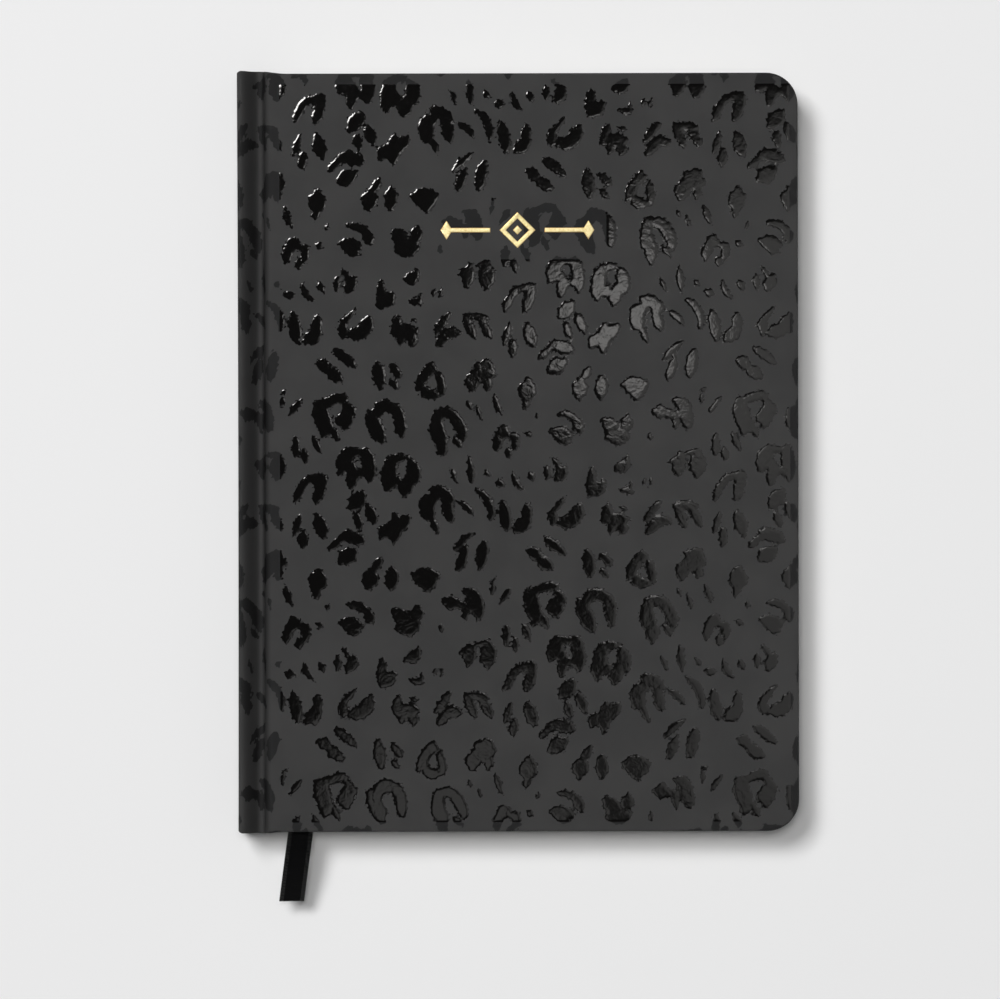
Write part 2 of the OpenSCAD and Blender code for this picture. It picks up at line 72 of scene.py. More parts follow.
# The joint, from the spine's face: its climb up the board's edge with the places of the
# columns on it, and the swelling at its bottom
RISE_START, RISE_W = 7.5, 1.9
RISE_SHARES = np.array([0.004, 0.02, 0.05, 0.1, 0.17, 0.26, 0.37, 0.5, 0.64, 0.8, 1.0])
SWELL_X, SWELL_W, SWELL_H = 6.7, 0.95, 0.14

# Painted shade in the joint: how much darker the paper is drawn, standing in for the groove's
# shade, by distance from the spine's face
JOINT_PAINTED_SHADE = (
    [0.9, 1.6, 2.4, 3.4, 5.2, 5.8, 6.2, 6.6, 7.0, 7.3, 7.6, 8.0, 8.7, 9.4],
    [0.0, 0.35, 0.6, 0.75, 0.95, 0.7, 0.25, 0.0, 0.3, 0.8, 0.95, 0.8, 0.45, 0.0],
)

# The foil device, and the bare field round it with its rounded corners
FOIL_W, FOIL_H, FOIL_LINE, FOIL_Y = 43.6, 10.2, 1.3, 63.0
FOIL_ROOM_X, FOIL_ROOM_Y, FOIL_ROOM_R = 3.4, 3.2, 5.0

# Margins without varnish along the cover's edges and the joint
MARGIN_HEAD, MARGIN_TAIL, MARGIN_FORE, MARGIN_JOINT = 3.1, 2.7, 2.3, 3.4

# The ribbon: its section, where it leaves the leaves from the spine's face, how far it stands
# out and drops there, its lean to the spine, and how far its cut end runs aslant
RIBBON_W, RIBBON_T, RIBBON_EXIT = 7.05, 0.2, 18.02
RIBBON_OUT, RIBBON_DROP, RIBBON_LEAN, RIBBON_SLANT = 20.1, 5.6, 0.14, 0.5

# The print's repeat: width of a column, drop from one column to the next, and height.
# Strokes thinner than THIN_STROKE have pointed ends.
PRINT_STEP, PRINT_DROP, PRINT_REPEAT = 59.5, 53.5, 107.5
THIN_STROKE = 2.2

# Strokes of one repeat of the print: x, y, length, width, direction in degrees, and the bend
# in degrees of those that have one
PRINT = [
    # Arches, rings and horseshoes
    [-61.8, -10.6, 7.8, 2.3, 62, -12], [-57.6, -7.3, 6, 2.4, 12, -25],
    [-56.2, -10.4, 8.6, 3.1, 74, 12], [-25.8, 91.6, 7.6, 4.3, 94, -20], [-23.6, 86.8, 5, 1.9, 112],
    [-21.3, 95.9, 7.8, 3.5, -28, -22], [-19.8, 90.9, 7, 3, 105], [-49.2, -2.3, 8, 4.2, 70],
    [-42.4, -3.6, 10.4, 3.9, 95, 8], [-46, 0.2, 5.8, 2, -4], [-47, -6.6, 7.6, 3, 85],
    [-45.2, -5.8, 4.8, 1.7, 0], [-55.5, 10, 10.2, 4.7, 106], [-55, 5.6, 3, 1.9, 80],
    [-51.9, 5.5, 4.6, 2, 115], [-53.4, 14.7, 8, 2.4, 20, -10], [-50.2, 15.6, 4.4, 2.2, 0],
    [-47.6, 12.6, 5.2, 2.4, -48], [-49.1, 9.3, 6, 4.9, 95], [-40.4, 7.2, 10.6, 4.4, 114],
    [-36.3, 12.9, 8, 3.4, -22, -30], [-33.4, 8.4, 8.8, 3.4, 95], [-27, 20.6, 7.8, 3, 65],
    [-24.4, 24, 3.6, 3, 85], [-21.8, 19.6, 6.8, 2.5, 100], [-24.5, 16.4, 5, 3, 0],
    [-13.6, 35.6, 7.6, 2.6, 115], [-11.4, 38.4, 6.4, 2.2, -8], [-9.1, 35.2, 6.8, 2.4, 117],
    [-13.9, 50.1, 7, 3.5, 82], [-15.7, 50.9, 2.4, 1.7, 20], [-10.4, 53.4, 4, 1.6, 20],
    [-8.6, 50, 7.8, 4.6, 85], [-65, 57.4, 8, 2.8, 70, -28], [-63, 59.2, 3.6, 2.4, -40],
    [-60.1, 56.4, 4.8, 2.2, 85], [-60.8, 58.1, 2.4, 1.2, 0], [-62.1, 53.4, 3.4, 2.1, 95],
    [-43.9, 63.3, 9.8, 2.3, -38, -95], [-42.3, 60.6, 3.2, 2.7, 100],
    # Wide patches with wings
    [-35, 86, 9, 3.5, 85], [-32.6, 87.6, 6, 3.3, 50], [-38, 85, 4.8, 3.5, 65],
    [-47, 83.4, 7.6, 3.7, -16, -15], [-51.8, 81.6, 5.2, 2.2, 42], [-48.4, 78, 6.6, 4.5, 32],
    [-45.7, 93.8, 7, 4.2, 50], [-26.3, 72.6, 8.2, 4.6, 0], [-25.8, 69.8, 4, 3.6, 90],
    [-33.3, 61, 6.4, 4.2, -42], [-28.7, 61.7, 5.4, 3.5, 75], [-31.3, 57.8, 7.2, 4.8, 4],
    [-47.4, 58.8, 7, 4, -12], [-46.6, 56.5, 3.8, 2, -12], [-12.9, 20.1, 6.2, 4.2, 82],
    [-9.4, 23.6, 6.8, 5.8, -25], [-8.5, 19.4, 3.8, 2.4, 80], [-31.9, 34.4, 7.8, 4, 0],
    [-34.4, 36.2, 5.8, 2.7, 78], [-33.2, 31.8, 3.2, 1.9, 80], [-29.8, 31.8, 3.6, 2.6, 80],
    [-45.6, 33.7, 6, 3.8, 10], [-48.4, 38, 7.4, 1.7, 48], [-49.6, 34.8, 4.8, 2.3, 85],
    [-42.9, 35.8, 6.6, 3.8, 70], [-19.2, 64.9, 4.8, 4.2, -10], [-16.2, 64.2, 5.2, 2.5, -25],
    [-13.4, 67.6, 4.8, 2.8, -20], [-11.9, 64.2, 8.8, 4.1, 102], [-15, 61.5, 3.6, 1.7, 95],
    [-38.8, 45, 8.2, 2.6, 86], [-36.8, 43.3, 5.6, 4, 48],
    # Limbs and bars
    [-36.6, -6, 10.6, 4.3, 82, -8], [-29.6, -5.2, 7.6, 3.9, 105], [-31.9, -9.8, 5.8, 4, 80],
    [-22.9, 8.6, 7, 3.4, 95], [-21.7, 3.2, 8.6, 3.6, 92], [-22.2, 10.8, 3.4, 1.8, 80],
    [-16.9, 8.4, 10.4, 3.5, -60, -38], [-17.2, 2.9, 4.2, 1.8, -52], [-63.2, 35.4, 9, 3.3, 99],
    [-57, 35.6, 7, 2.9, 88], [-58.5, 32.6, 5.4, 3.8, 38], [-62.6, 87, 7, 2, 72],
    [-60.9, 82.9, 5.4, 2.5, 85], [-42, 71.5, 6.6, 4.6, 82], [-40, 75.8, 4.6, 2.3, 62],
    [-56.8, 71.1, 7.4, 5, 86], [-57.3, 67.1, 2.8, 1.7, 80], [-35.9, 71.9, 7, 3.6, 88],
    [-10.3, 78.5, 8.8, 3.3, 79, -10], [-15.7, 82.5, 8.2, 2, 43, -20], [-15.9, 77.2, 7.2, 2.7, 70],
    [-39.4, 22, 8.4, 3.5, 97], [-34.5, 23.2, 5, 2.3, -52, -20], [-35, 19.3, 3.8, 1.9, -48],
    [-55.1, 25, 4.6, 3.4, -25], [-52, 22, 6, 3.4, -32], [-49, 26.9, 8.2, 2.7, -38, -10],
    [-21.4, 36.7, 7.4, 2.4, 53], [-20.8, 32.7, 6.8, 2.8, 48], [-18, 34, 4.4, 2.6, -12],
    [-47.4, 47.4, 5.6, 3.4, 62], [-48.8, 50.7, 3.8, 1.4, -50], [-56, 86.7, 7.6, 3.6, 107],
    # Small strokes and dots
    [-41.6, 90, 6.2, 3, 112], [-45.4, 88, 4.8, 2.2, 108, -20], [-14.4, 91.8, 6.4, 2, -43, -35],
    [-8.3, 93.4, 10.6, 2.2, -65, -72], [-13.4, -5, 7.8, 2.1, 96], [-18.2, -6.6, 4.4, 1.3, 112],
    [-65.3, 66.9, 6.4, 1.9, 110, -15], [-60, 45, 6.8, 1.8, -58, 60], [-55.8, 46.8, 3.4, 2, 115],
    [-51.3, 47.8, 4.4, 2, 90], [-64.7, 44.7, 3.2, 2.3, -15], [-8.7, -6, 2.6, 1.6, -50],
    [-54, 63.8, 2.2, 1.1, 75], [-56.3, 58.6, 2.4, 1.7, -30], [-22, 57.7, 2.8, 1.3, 100],
    [-30.2, 49.3, 4.6, 3.5, 15], [-28.6, 51, 2.8, 1.4, 80], [-29, 42.6, 4, 1.8, -15],
    [-27.5, 43.9, 2.6, 1, 88], [-23.8, 45.2, 2, 1, 80], [-21.8, 45.1, 2.4, 1, 75],
    [-63.1, 12.9, 5.8, 1.7, 53], [-66.9, 14.8, 3.2, 1.3, 85], [-66.3, 17.4, 1.8, 0.9, 30],
    [-13.8, 13.6, 2.4, 1, 110], [-11, 11.2, 4.4, 1, 107], [-63, 1.6, 6, 2.2, 88],
    [-60.4, -1, 4.4, 2.1, 98], [-57.2, 2.4, 5.8, 2, 115], [-29.6, 37.6, 2.4, 1.3, -20],
    # Fillings between strokes that run together
    [-26.1, 71.1, 5.6, 3.4, 0], [-26, 17.6, 3, 2.2, -45], [-11.1, 21.4, 4.4, 3, 30],
    [-23.6, 6.4, 5, 2.6, 80], [-39.4, 12, 4.4, 3, 30], [-33.2, -1.3, 4.2, 2.4, 0],
    [-34.3, -8, 3.2, 2.4, 60], [-30.9, -7.6, 3.2, 2.6, 60], [-19.7, 11.2, 4, 2.4, -20],
    [-24.2, 94.2, 3.8, 2.8, 60],
]

# Meshes


def build_mesh(name, points, faces, smooth=True):
    """Object at the origin from an array of points in millimetres and an array of faces,
    all with the same number of corners."""
    mesh = bpy.data.meshes.new(name)
    faces = np.asarray(faces, np.int32)
    count, corners = faces.shape
    mesh.vertices.add(len(points))
    mesh.vertices.foreach_set("co", (np.asarray(points) * MM).astype(np.float32).ravel())
    mesh.loops.add(count * corners)
    mesh.loops.foreach_set("vertex_index", faces.ravel())
    mesh.polygons.add(count)
    mesh.polygons.foreach_set("loop_start", np.arange(0, count * corners, corners, dtype=np.int32))
    mesh.polygons.foreach_set("use_smooth", np.full(count, smooth))
    mesh.update(calc_edges=True)
    piece = bpy.data.objects.new(name, mesh)
    bpy.context.scene.collection.objects.link(piece)
    return piece


def number_grid(shape, first=0):
    """Point numbers of a grid of that shape, row by row."""
    return first + np.arange(shape[0] * shape[1]).reshape(shape[:2])


def grid_faces(ids, wrap=False):
    """Quads between the neighbours of a two-dimensional array of point numbers. With wrap the
    last column joins the first."""
    if wrap:
        ids = np.concatenate([ids, ids[:, :1]], axis=1)
    quads = [ids[:-1, :-1], ids[:-1, 1:], ids[1:, 1:], ids[1:, :-1]]
    return np.stack([q.ravel() for q in quads], axis=1)


def grid_points(*coordinates):
    """Points from x, y and z, each a grid, a row, a column or one number."""
    return np.stack(np.broadcast_arrays(*coordinates), axis=2).reshape(-1, len(coordinates))


def add_value(piece, name, values):
    """Keeps one number for each point of a piece, for its material to read."""
    layer = piece.data.attributes.new(name, "FLOAT", "POINT")
    layer.data.foreach_set("value", np.asarray(values, np.float32).ravel())


def add_uv(piece, uv):
    """UV map from one pair of numbers for each point."""
    layer = piece.data.uv_layers.new(name="UVMap")
    corner = np.empty(len(piece.data.loops), np.int32)
    piece.data.loops.foreach_get("vertex_index", corner)
    layer.data.foreach_set("uv", np.asarray(uv, np.float32)[corner].ravel())


def smooth_step(t):
    """0 below 0, 1 above 1, and 3 t^2 - 2 t^3 between."""
    t = np.clip(t, 0, 1)
    return t * t * (3 - 2 * t)


def round_end(x, middle_x, half_h, radius):
    """Half height at x of a sheet whose corners past middle_x are quarter circles."""
    past = np.clip(x - middle_x, 0, radius)
    return half_h - radius + np.sqrt(np.clip(radius**2 - past**2, 0, None))


# The print


def ragged(x, y, size, seed):
    """Smooth random values from -1 to 1: a random number at each node of a square grid of
    that size, and a smooth step from node to node."""

    def at_node(i, j):
        value = np.sin(i * 127.1 + j * 311.7 + seed * 74.7) * 43758.5453
        return 2 * (value - np.floor(value)) - 1

    i, j = np.floor(x / size), np.floor(y / size)
    u, v = smooth_step(x / size - i), smooth_step(y / size - j)
    low = at_node(i, j) * (1 - u) + at_node(i + 1, j) * u
    high = at_node(i, j + 1) * (1 - u) + at_node(i + 1, j + 1) * u
    return low * (1 - v) + high * v


def stroke_field(x, y, length, width, turn, bend=0):
    """Depth inside one brush stroke that lies at the origin. The stroke's middle line is an
    arc; depth is the half width at the nearest point of the arc less the distance to it.
    The half width shrinks to about half at the ends, and to an eighth on a thin stroke."""
    c, s = math.cos(math.radians(turn)), math.sin(math.radians(turn))
    along, across = x * c + y * s, y * c - x * s
    end, fullness = (0.12, 2) if width < THIN_STROKE else (0.48, 3.2)
    reach, half = length - end * width, math.radians(bend) / 2
    if bend:
        steps = np.linspace(-1, 1, 6)
        radius = reach / 2 / half
        line = radius * np.stack([np.sin(half * steps), 1 - np.cos(half * steps)], axis=1)
    else:
        steps = np.array([-1.0, 1.0])
        line = np.stack([steps * reach / 2, steps * 0], axis=1)
    depth = np.full(np.shape(x), -np.inf)
    for k in range(len(line) - 1):
        a, d = line[k], line[k + 1] - line[k]
        t = np.clip(((along - a[0]) * d[0] + (across - a[1]) * d[1]) / (d @ d), 0, 1)
        place = steps[k] + t * (steps[k + 1] - steps[k])
        gap = np.hypot(along - a[0] - t * d[0], across - a[1] - t * d[1])
        half_width = width / 2 * (1 - (1 - end) * np.abs(place) ** fullness)
        depth = np.maximum(depth, half_width - gap)
    return depth


def run_together(a, b, reach=1.4):
    """The greater of two depths, and a little more where they are less than reach apart, so
    that ink fills the notch between two strokes that touch."""
    share = np.clip(0.5 + 0.5 * (a - b) / reach, 0, 1)
    return b + (a - b) * share + reach * share * (1 - share)


def print_repeat_table(rows=538, columns=298, deepest=-2.0):
    """Depth inside the spots over one repeat of the print, one column wide: the strokes, those
    of the neighbouring repeats among them, run together one after the other."""
    xs = np.linspace(0, PRINT_STEP, columns + 1)
    ys = np.linspace(0, PRINT_REPEAT, rows + 1)
    table = np.full((rows + 1, columns + 1), deepest)
    for x, y, length, width, turn, *bend in PRINT:
        reach = length / 2 + width / 2 - deepest
        for k in range(-1, 4):
            for m in range(-2, 4):
                cx, cy = x + k * PRINT_STEP, y - k * PRINT_DROP + m * PRINT_REPEAT
                i = slice(*np.searchsorted(xs, [cx - reach, cx + reach]))
                j = slice(*np.searchsorted(ys, [cy - reach, cy + reach]))
                if i.start < i.stop and j.start < j.stop:
                    u, v = np.meshgrid(xs[i] - cx, ys[j] - cy)
                    field = stroke_field(u, v, length, width, turn, *bend)
                    table[j, i] = run_together(table[j, i], field)
    return table


PRINT_TABLE = print_repeat_table()


def print_depth(x, y):
    """Depth inside the strokes at any place of the flat covering paper, in millimetres: the
    repeat's table, read between its four nearest samples."""
    rows, columns = PRINT_TABLE.shape[0] - 1, PRINT_TABLE.shape[1] - 1
    column = np.floor(x / PRINT_STEP)
    u = (x / PRINT_STEP - column) * columns
    v = np.mod(y + column * PRINT_DROP, PRINT_REPEAT) / PRINT_REPEAT * rows
    i, j = np.clip(u.astype(int), 0, columns - 1), np.clip(v.astype(int), 0, rows - 1)
    u, v = u - i, v - j
    low = PRINT_TABLE[j, i] * (1 - u) + PRINT_TABLE[j, i + 1] * u
    high = PRINT_TABLE[j + 1, i] * (1 - u) + PRINT_TABLE[j + 1, i + 1] * u
    return low * (1 - v) + high * v


def spot_depth(x, y):
    """Depth inside the printed spots with the frayed edges that the brush's hairs leave. A
    power of one less the size of a random value peaks where that value crosses zero, which
    gives sharp teeth."""
    teeth = 0.5 * (1 - np.abs(ragged(x, y, 0.95, 2))) ** 3
    teeth += 0.7 * (1 - np.abs(ragged(x, y, 0.66, 3))) ** 4
    return print_depth(x, y) + (teeth + 0.1 * ragged(x, y, 1.7, 1) - 0.27)


# The raised varnish and foil

# Corners 0 to 3 of a grid cell run round it from its low x and low y; 4 to 7 are where the
# outline crosses the sides 0-1, 1-2, 2-3 and 3-0. The key says which corners are inside.
CELL_CUTS = {
    1: [(0, 4, 7)],
    2: [(1, 5, 4)],
    3: [(0, 1, 5), (0, 5, 7)],
    4: [(2, 6, 5)],
    5: [(0, 4, 7), (2, 6, 5)],
    6: [(1, 2, 6), (1, 6, 4)],
    7: [(0, 1, 2), (0, 2, 6), (0, 6, 7)],
    8: [(3, 7, 6)],
    9: [(0, 4, 6), (0, 6, 3)],
    10: [(1, 5, 4), (3, 7, 6)],
    11: [(0, 1, 5), (0, 5, 6), (0, 6, 3)],
    12: [(2, 3, 7), (2, 7, 5)],
    13: [(0, 4, 5), (0, 5, 2), (0, 2, 3)],
    14: [(1, 2, 3), (1, 3, 7), (1, 7, 4)],
    15: [(0, 1, 2), (0, 2, 3)],
}


def cut_out(xs, ys, depth):
    """Points, their depths and triangles of the part of a grid where depth is above zero.
    Each cell is cut along the line where depth, straight between corners, is zero."""
    grid = np.stack(np.meshgrid(xs, ys), axis=2)
    inside = depth > 0
    points, depths, numbers = [grid[inside]], [depth[inside]], []
    total = inside.sum()
    corner = np.full(depth.shape, -1)
    corner[inside] = np.arange(total)
    for a, b in ((np.s_[:, :-1], np.s_[:, 1:]), (np.s_[:-1], np.s_[1:])):
        crossed = inside[a] != inside[b]
        da, db = depth[a][crossed], depth[b][crossed]
        t = np.clip(da / (da - db), 0.08, 0.92)[:, None]
        points.append(grid[a][crossed] + t * (grid[b][crossed] - grid[a][crossed]))
        depths.append(np.zeros(len(t)))
        number = np.full(crossed.shape, -1)
        number[crossed] = total + np.arange(len(t))
        numbers.append(number)
        total += len(t)
    level, upright = numbers
    refs = np.stack(
        [
            corner[:-1, :-1], corner[:-1, 1:], corner[1:, 1:], corner[1:, :-1],
            level[:-1], upright[:, 1:], level[1:], upright[:, :-1],
        ]
    )
    kind = sum((refs[k] >= 0) * 2**k for k in range(4))
    triangles = [refs[list(t)][:, kind == key].T for key, cuts in CELL_CUTS.items() for t in cuts]
    return np.concatenate(points), np.concatenate(depths), np.concatenate(triangles)


def raised_film(name, flat, inset, triangles, foot, top, rim):
    """A film on the front cover. Its height rises from foot at the outline to top at rim
    inside it, along height = foot + (top - foot) (1 - (1 - d/rim)^2)."""
    inset = np.clip(inset, 0, None)
    rise = 1 - (1 - np.clip(inset / rim, 0, 1)) ** 2
    height = BOOK_T + foot + (top - foot) * rise
    piece = build_mesh(name, np.column_stack([flat, height]), triangles)
    add_value(piece, "inset", inset)
    return piece


def varnish_room(x, y):
    """Distance inside the field that the varnish may cover: inside the cover's margins, and
    outside the bare field round the foil device, whose corners are rounded."""
    from_joint, to_fore = x - (SPINE_X + JOINT_W + MARGIN_JOINT), FORE_X - MARGIN_FORE - x
    from_tail, to_head = y - (MARGIN_TAIL - CASE_H / 2), CASE_H / 2 - MARGIN_HEAD - y
    half_w, half_h = FOIL_W / 2 + FOIL_ROOM_X, FOIL_H / 2 + FOIL_ROOM_Y
    past_x = np.clip(np.abs(x) - half_w + FOIL_ROOM_R, 0, None)
    past_y = np.clip(np.abs(y - FOIL_Y) - half_h + FOIL_ROOM_R, 0, None)
    bare = np.hypot(past_x, past_y) - FOIL_ROOM_R
    return np.minimum.reduce([from_joint, to_fore, from_tail, to_head, bare])


def make_varnish(cell=0.343, frayed=0.35):
    """The gloss varnish on the front cover's spots. It flows smooth while it is wet, so its
    height follows the frayed outline only in part, and the plain strokes for the rest."""
    xs = np.arange(SPINE_X + JOINT_W + 2, FORE_X - 1, cell)
    ys = np.arange(2 - CASE_H / 2, CASE_H / 2 - 1, cell)
    x, y = np.meshgrid(xs, ys)
    flat, depth, triangles = cut_out(xs, ys, np.minimum(spot_depth(x, y), varnish_room(x, y)))
    plain = np.minimum(print_depth(*flat.T) + 0.1, varnish_room(*flat.T))
    inset = frayed * depth + (1 - frayed) * plain
    return raised_film("spot_varnish", flat, inset, triangles, foot=0.004, top=0.041, rim=0.72)


def device_depth(x, y):
    """Depth inside the foil device: a lozenge ring and its core, a rule on either side, and a
    small lozenge at each end. A lozenge's depth is how far |x| + |y| stays below its half
    width, over the square root of two."""
    x, y = np.abs(x), np.abs(y - FOIL_Y)
    ring = (FOIL_H / 2 - x - y) / math.sqrt(2)
    ring = np.minimum(ring, FOIL_LINE - ring)
    core = (FOIL_LINE - x - y) / math.sqrt(2)
    rule_w = (FOIL_W - FOIL_H) / 2 - 3 * FOIL_LINE
    middle = FOIL_H / 2 + 2 * FOIL_LINE + rule_w / 2
    rule = np.minimum(rule_w / 2 - np.abs(x - middle), FOIL_LINE / 2 - y)
    end_w, end_h = 1.3 * FOIL_LINE, 2.08 * FOIL_LINE
    end = (1 - np.abs(x - FOIL_W / 2 + end_w) / end_w - y / end_h) * 0.85 * end_w
    return np.maximum.reduce([ring, core, rule, end])


def make_foil(cell=0.14, spare=0.5):
    """The stamped foil, with rounded edges where the hot die pushed it into the paper."""
    half_w, half_h = FOIL_W / 2 + spare, FOIL_H / 2 + spare
    xs = np.arange(-half_w, half_w, cell)
    ys = np.arange(FOIL_Y - half_h, FOIL_Y + half_h, cell)
    depth = device_depth(*np.meshgrid(xs, ys))
    return raised_film("foil_stamp", *cut_out(xs, ys, depth), foot=0.01, top=0.05, rim=0.3)


# The covering paper


def case_profile(groove_d):
    """Columns of the covering paper's front half from the middle of the spine to the fore-edge:
    distance from the spine's face, height, the way the outer face looks along x and z, and the
    place on the flat paper, which is measured along the paper, so that the print runs on over
    the spine.

    The paper falls from the spine's round ridge on a smooth step, swells a little at the bottom
    of the joint and climbs the edge of the board on a quarter of an ellipse."""
    board = RISE_START + RISE_W
    quarter = np.linspace(0, math.pi / 2, 9)[1:]
    corner = np.linspace(0, math.pi / 2, 15)[1:]
    u = np.concatenate(
        [
            np.linspace(RIDGE_R, RISE_START, 34)[1:],
            RISE_START + RISE_W * RISE_SHARES,
            np.linspace(board, CORNER_X, 188)[1:],
            CORNER_X + (CORNER_R - HEM_R) * np.sin(corner),
        ]
    )
    fall = smooth_step((u - RIDGE_R) / SLOPE_W)
    rise = np.sqrt(1 - (1 - np.clip((u - RISE_START) / RISE_W, 0, 1)) ** 2)
    swell = SWELL_H * smooth_step(1 - np.abs(u - SWELL_X) / SWELL_W)
    ridge_z = BOOK_T - RIDGE_R
    spine_z = np.linspace(BOOK_T / 2, ridge_z, 9)
    s = np.concatenate([np.zeros(9), RIDGE_R * (1 - np.cos(quarter)), u])
    z = [spine_z, ridge_z + RIDGE_R * np.sin(quarter), BOOK_T - groove_d * (fall - rise) + swell]
    z = np.concatenate(z)
    look = np.concatenate([np.zeros(9), quarter, np.full(len(u), math.pi / 2)])
    paper = np.concatenate([[0], np.cumsum(np.hypot(np.diff(s), np.diff(z)))])
    anchor = np.searchsorted(s, board + 5)
    return s, z, -np.cos(look), np.sin(look), paper - paper[anchor] + s[anchor] + SPINE_X


def covering_face(s, z, rows):
    """Grid of points of the covering's face from tail to head: y = v times the half height of
    the column, so that the columns shorten round the fore-edge corners. At the spine the paper
    stands past the boards at head and tail, and is hollow in the middle."""
    past_head = 0.85 - 0.12 * smooth_step((s - 1) / 3) - 0.73 * smooth_step((s - 6) / 8)
    past_tail = 0.4 * (1 - smooth_step((s - 7) / 6))
    half_h = round_end(s, CORNER_X, CASE_H / 2 - HEM_R, CORNER_R - HEM_R)
    half_h -= 0.3 * (1 - np.clip(s / 1.3, 0, 1)) ** 2
    v = np.linspace(-1, 1, rows + 1)[:, None]
    y = v * (half_h + np.where(v > 0, past_head, past_tail))
    hollow = 0.18 * (1 - (2 * y / CASE_H) ** 2) * (1 - smooth_step(s / 1.5))
    return np.stack(np.broadcast_arrays(s + SPINE_X + hollow, y, z), axis=2)


def hem_way(s, z):
    """How far each ring of the hem lies outward and inward of the face's outline, where that
    has the distance s from the spine's face and the height z. A quarter round turns the paper
    over the edge, a straight part goes down it, a second quarter turns it in, and two more
    rings take it on. The edge is as thick as the cover on the boards and as the ridge on the
    spine, and thin in the joint."""
    drop = np.select(
        [s <= RIDGE_R, s < 3, s <= GROOVE_END],
        [2 * RIDGE_R, 0.5 + 1.2 * (1 - smooth_step((s - 1.6) / 1.2)), 0.5],
        z - (BOOK_T - (COVER_T - ENDPAPER_T)),
    )
    first, last = np.minimum(HEM_R, drop * 0.5), np.minimum(0.35, drop * 0.4)
    a = np.linspace(0, math.pi / 2, 6)[1:, None]
    b = np.linspace(0, math.pi / 2, 5)[:, None]
    tuck = np.array([[3.5], [8.2]])
    level = 0 * drop
    outward = [HEM_R * np.sin(a) + level, HEM_R - last * (1 - np.cos(b)), HEM_R - tuck + level]
    inward = [first * (1 - np.cos(a)), drop - last * (1 - np.sin(b)), 0 * tuck + drop]
    return np.concatenate(outward)[..., None], np.concatenate(inward)[..., None]


def painted_shade_in_joint(points):
    """Painted shade in the joint, for each point of the paper: how much darker it is drawn, by
    distance from the spine's face, on the book's two faces alone, and less near head and tail."""
    distance, outer = points[:, 0] - SPINE_X, np.abs(points[:, 2] - BOOK_T / 2) > BOOK_T / 2 - 4
    near_ends = smooth_step((np.abs(points[:, 1]) - 45) / 35) * (distance > 6.6)
    return np.interp(distance, *JOINT_PAINTED_SHADE) * outer * (1 - 0.3 * near_ends)


def make_covering(name, back=False, rows=300):
    """Half of the covering paper, over one cover and half of the spine, as one sheet: its face,
    and the hem that follows the face's outline, point for point, ring after ring."""
    groove_d = GROOVE_D - RIBBON_ROOM if back else GROOVE_D
    s, z, look_x, look_z, print_x = case_profile(groove_d)
    face = covering_face(s, z, rows)
    ids = number_grid(face.shape)
    outline = np.concatenate([ids[0], ids[1:, -1], ids[-1, -2::-1]])
    row, column = np.divmod(outline, len(s))
    side = 1.0 * (row == rows) - (row == 0)
    angle = np.arcsin(np.clip((s[column] - CORNER_X) / (CORNER_R - HEM_R), 0, 1))
    out = np.stack([np.sin(angle), np.cos(angle) * side, 0 * side], axis=1)
    down = np.stack([-look_x[column], 0 * side, -look_z[column]], axis=1)
    outward, inward = hem_way(s[column], z[column])
    points = face.reshape(-1, 3)
    hem = points[outline] + outward * out + inward * down
    rings = number_grid(hem.shape, ids.size)
    faces = np.concatenate([grid_faces(ids), grid_faces(np.vstack([outline, rings]).T)])
    flat = grid_points(print_x, face[..., 1])
    turned_in = np.arange(1, len(rings) + 1)[:, None, None] / 4
    points = np.concatenate([points, hem.reshape(-1, 3)])
    flat = np.concatenate([flat, (flat[outline] + turned_in * out[:, :2]).reshape(-1, 2)])
    on_edge = np.concatenate([np.zeros(ids.size), np.repeat(turned_in, len(outline))])
    if back:
        points[:, 2] = BOOK_T - points[:, 2]
        faces = faces[:, ::-1]
        flat[:, 0] = 2 * print_x[0] - flat[:, 0]
    piece = build_mesh(name, points, faces)
    # Painted shade in the joint's groove, which the material uses to darken the paper
    add_value(piece, "painted_joint_shade", painted_shade_in_joint(points))
    add_value(piece, "spot_depth", spot_depth(*flat.T))
    add_value(piece, "on_edge", np.clip(on_edge, 0, 1))
    return piece


# The endpapers, leaves and head bands


def make_leaf(name, path, back, rows=12):
    """One sheet of endpaper: a path in the plane across the book, drawn out from tail to head,
    with rounded corners at the fore-edge. Solidify gives it its thickness."""
    s, z = np.array(path, float).T
    half_h = round_end(s, PAGE_FORE - PAGE_CORNER_R, PAGE_H / 2, PAGE_CORNER_R)
    points = grid_points(s + SPINE_X, np.linspace(-1, 1, rows + 1)[:, None] * half_h, z)
    if back:
        points[:, 2] = BOOK_T - points[:, 2]
    piece = build_mesh(name, points, grid_faces(number_grid((rows + 1, len(s)))))
    wall = piece.modifiers.new("thickness", "SOLIDIFY")
    wall.thickness, wall.offset = ENDPAPER_T * MM, 0
    return piece


def leaf_columns(start):
    """Distances from the spine's face of a leaf's columns: even, then close at the corner."""
    corner = PAGE_FORE - PAGE_CORNER_R
    turn = corner + PAGE_CORNER_R * np.sin(np.linspace(0, math.pi / 2, 13))
    return [*np.linspace(start, corner, 24)[:-1], *turn]


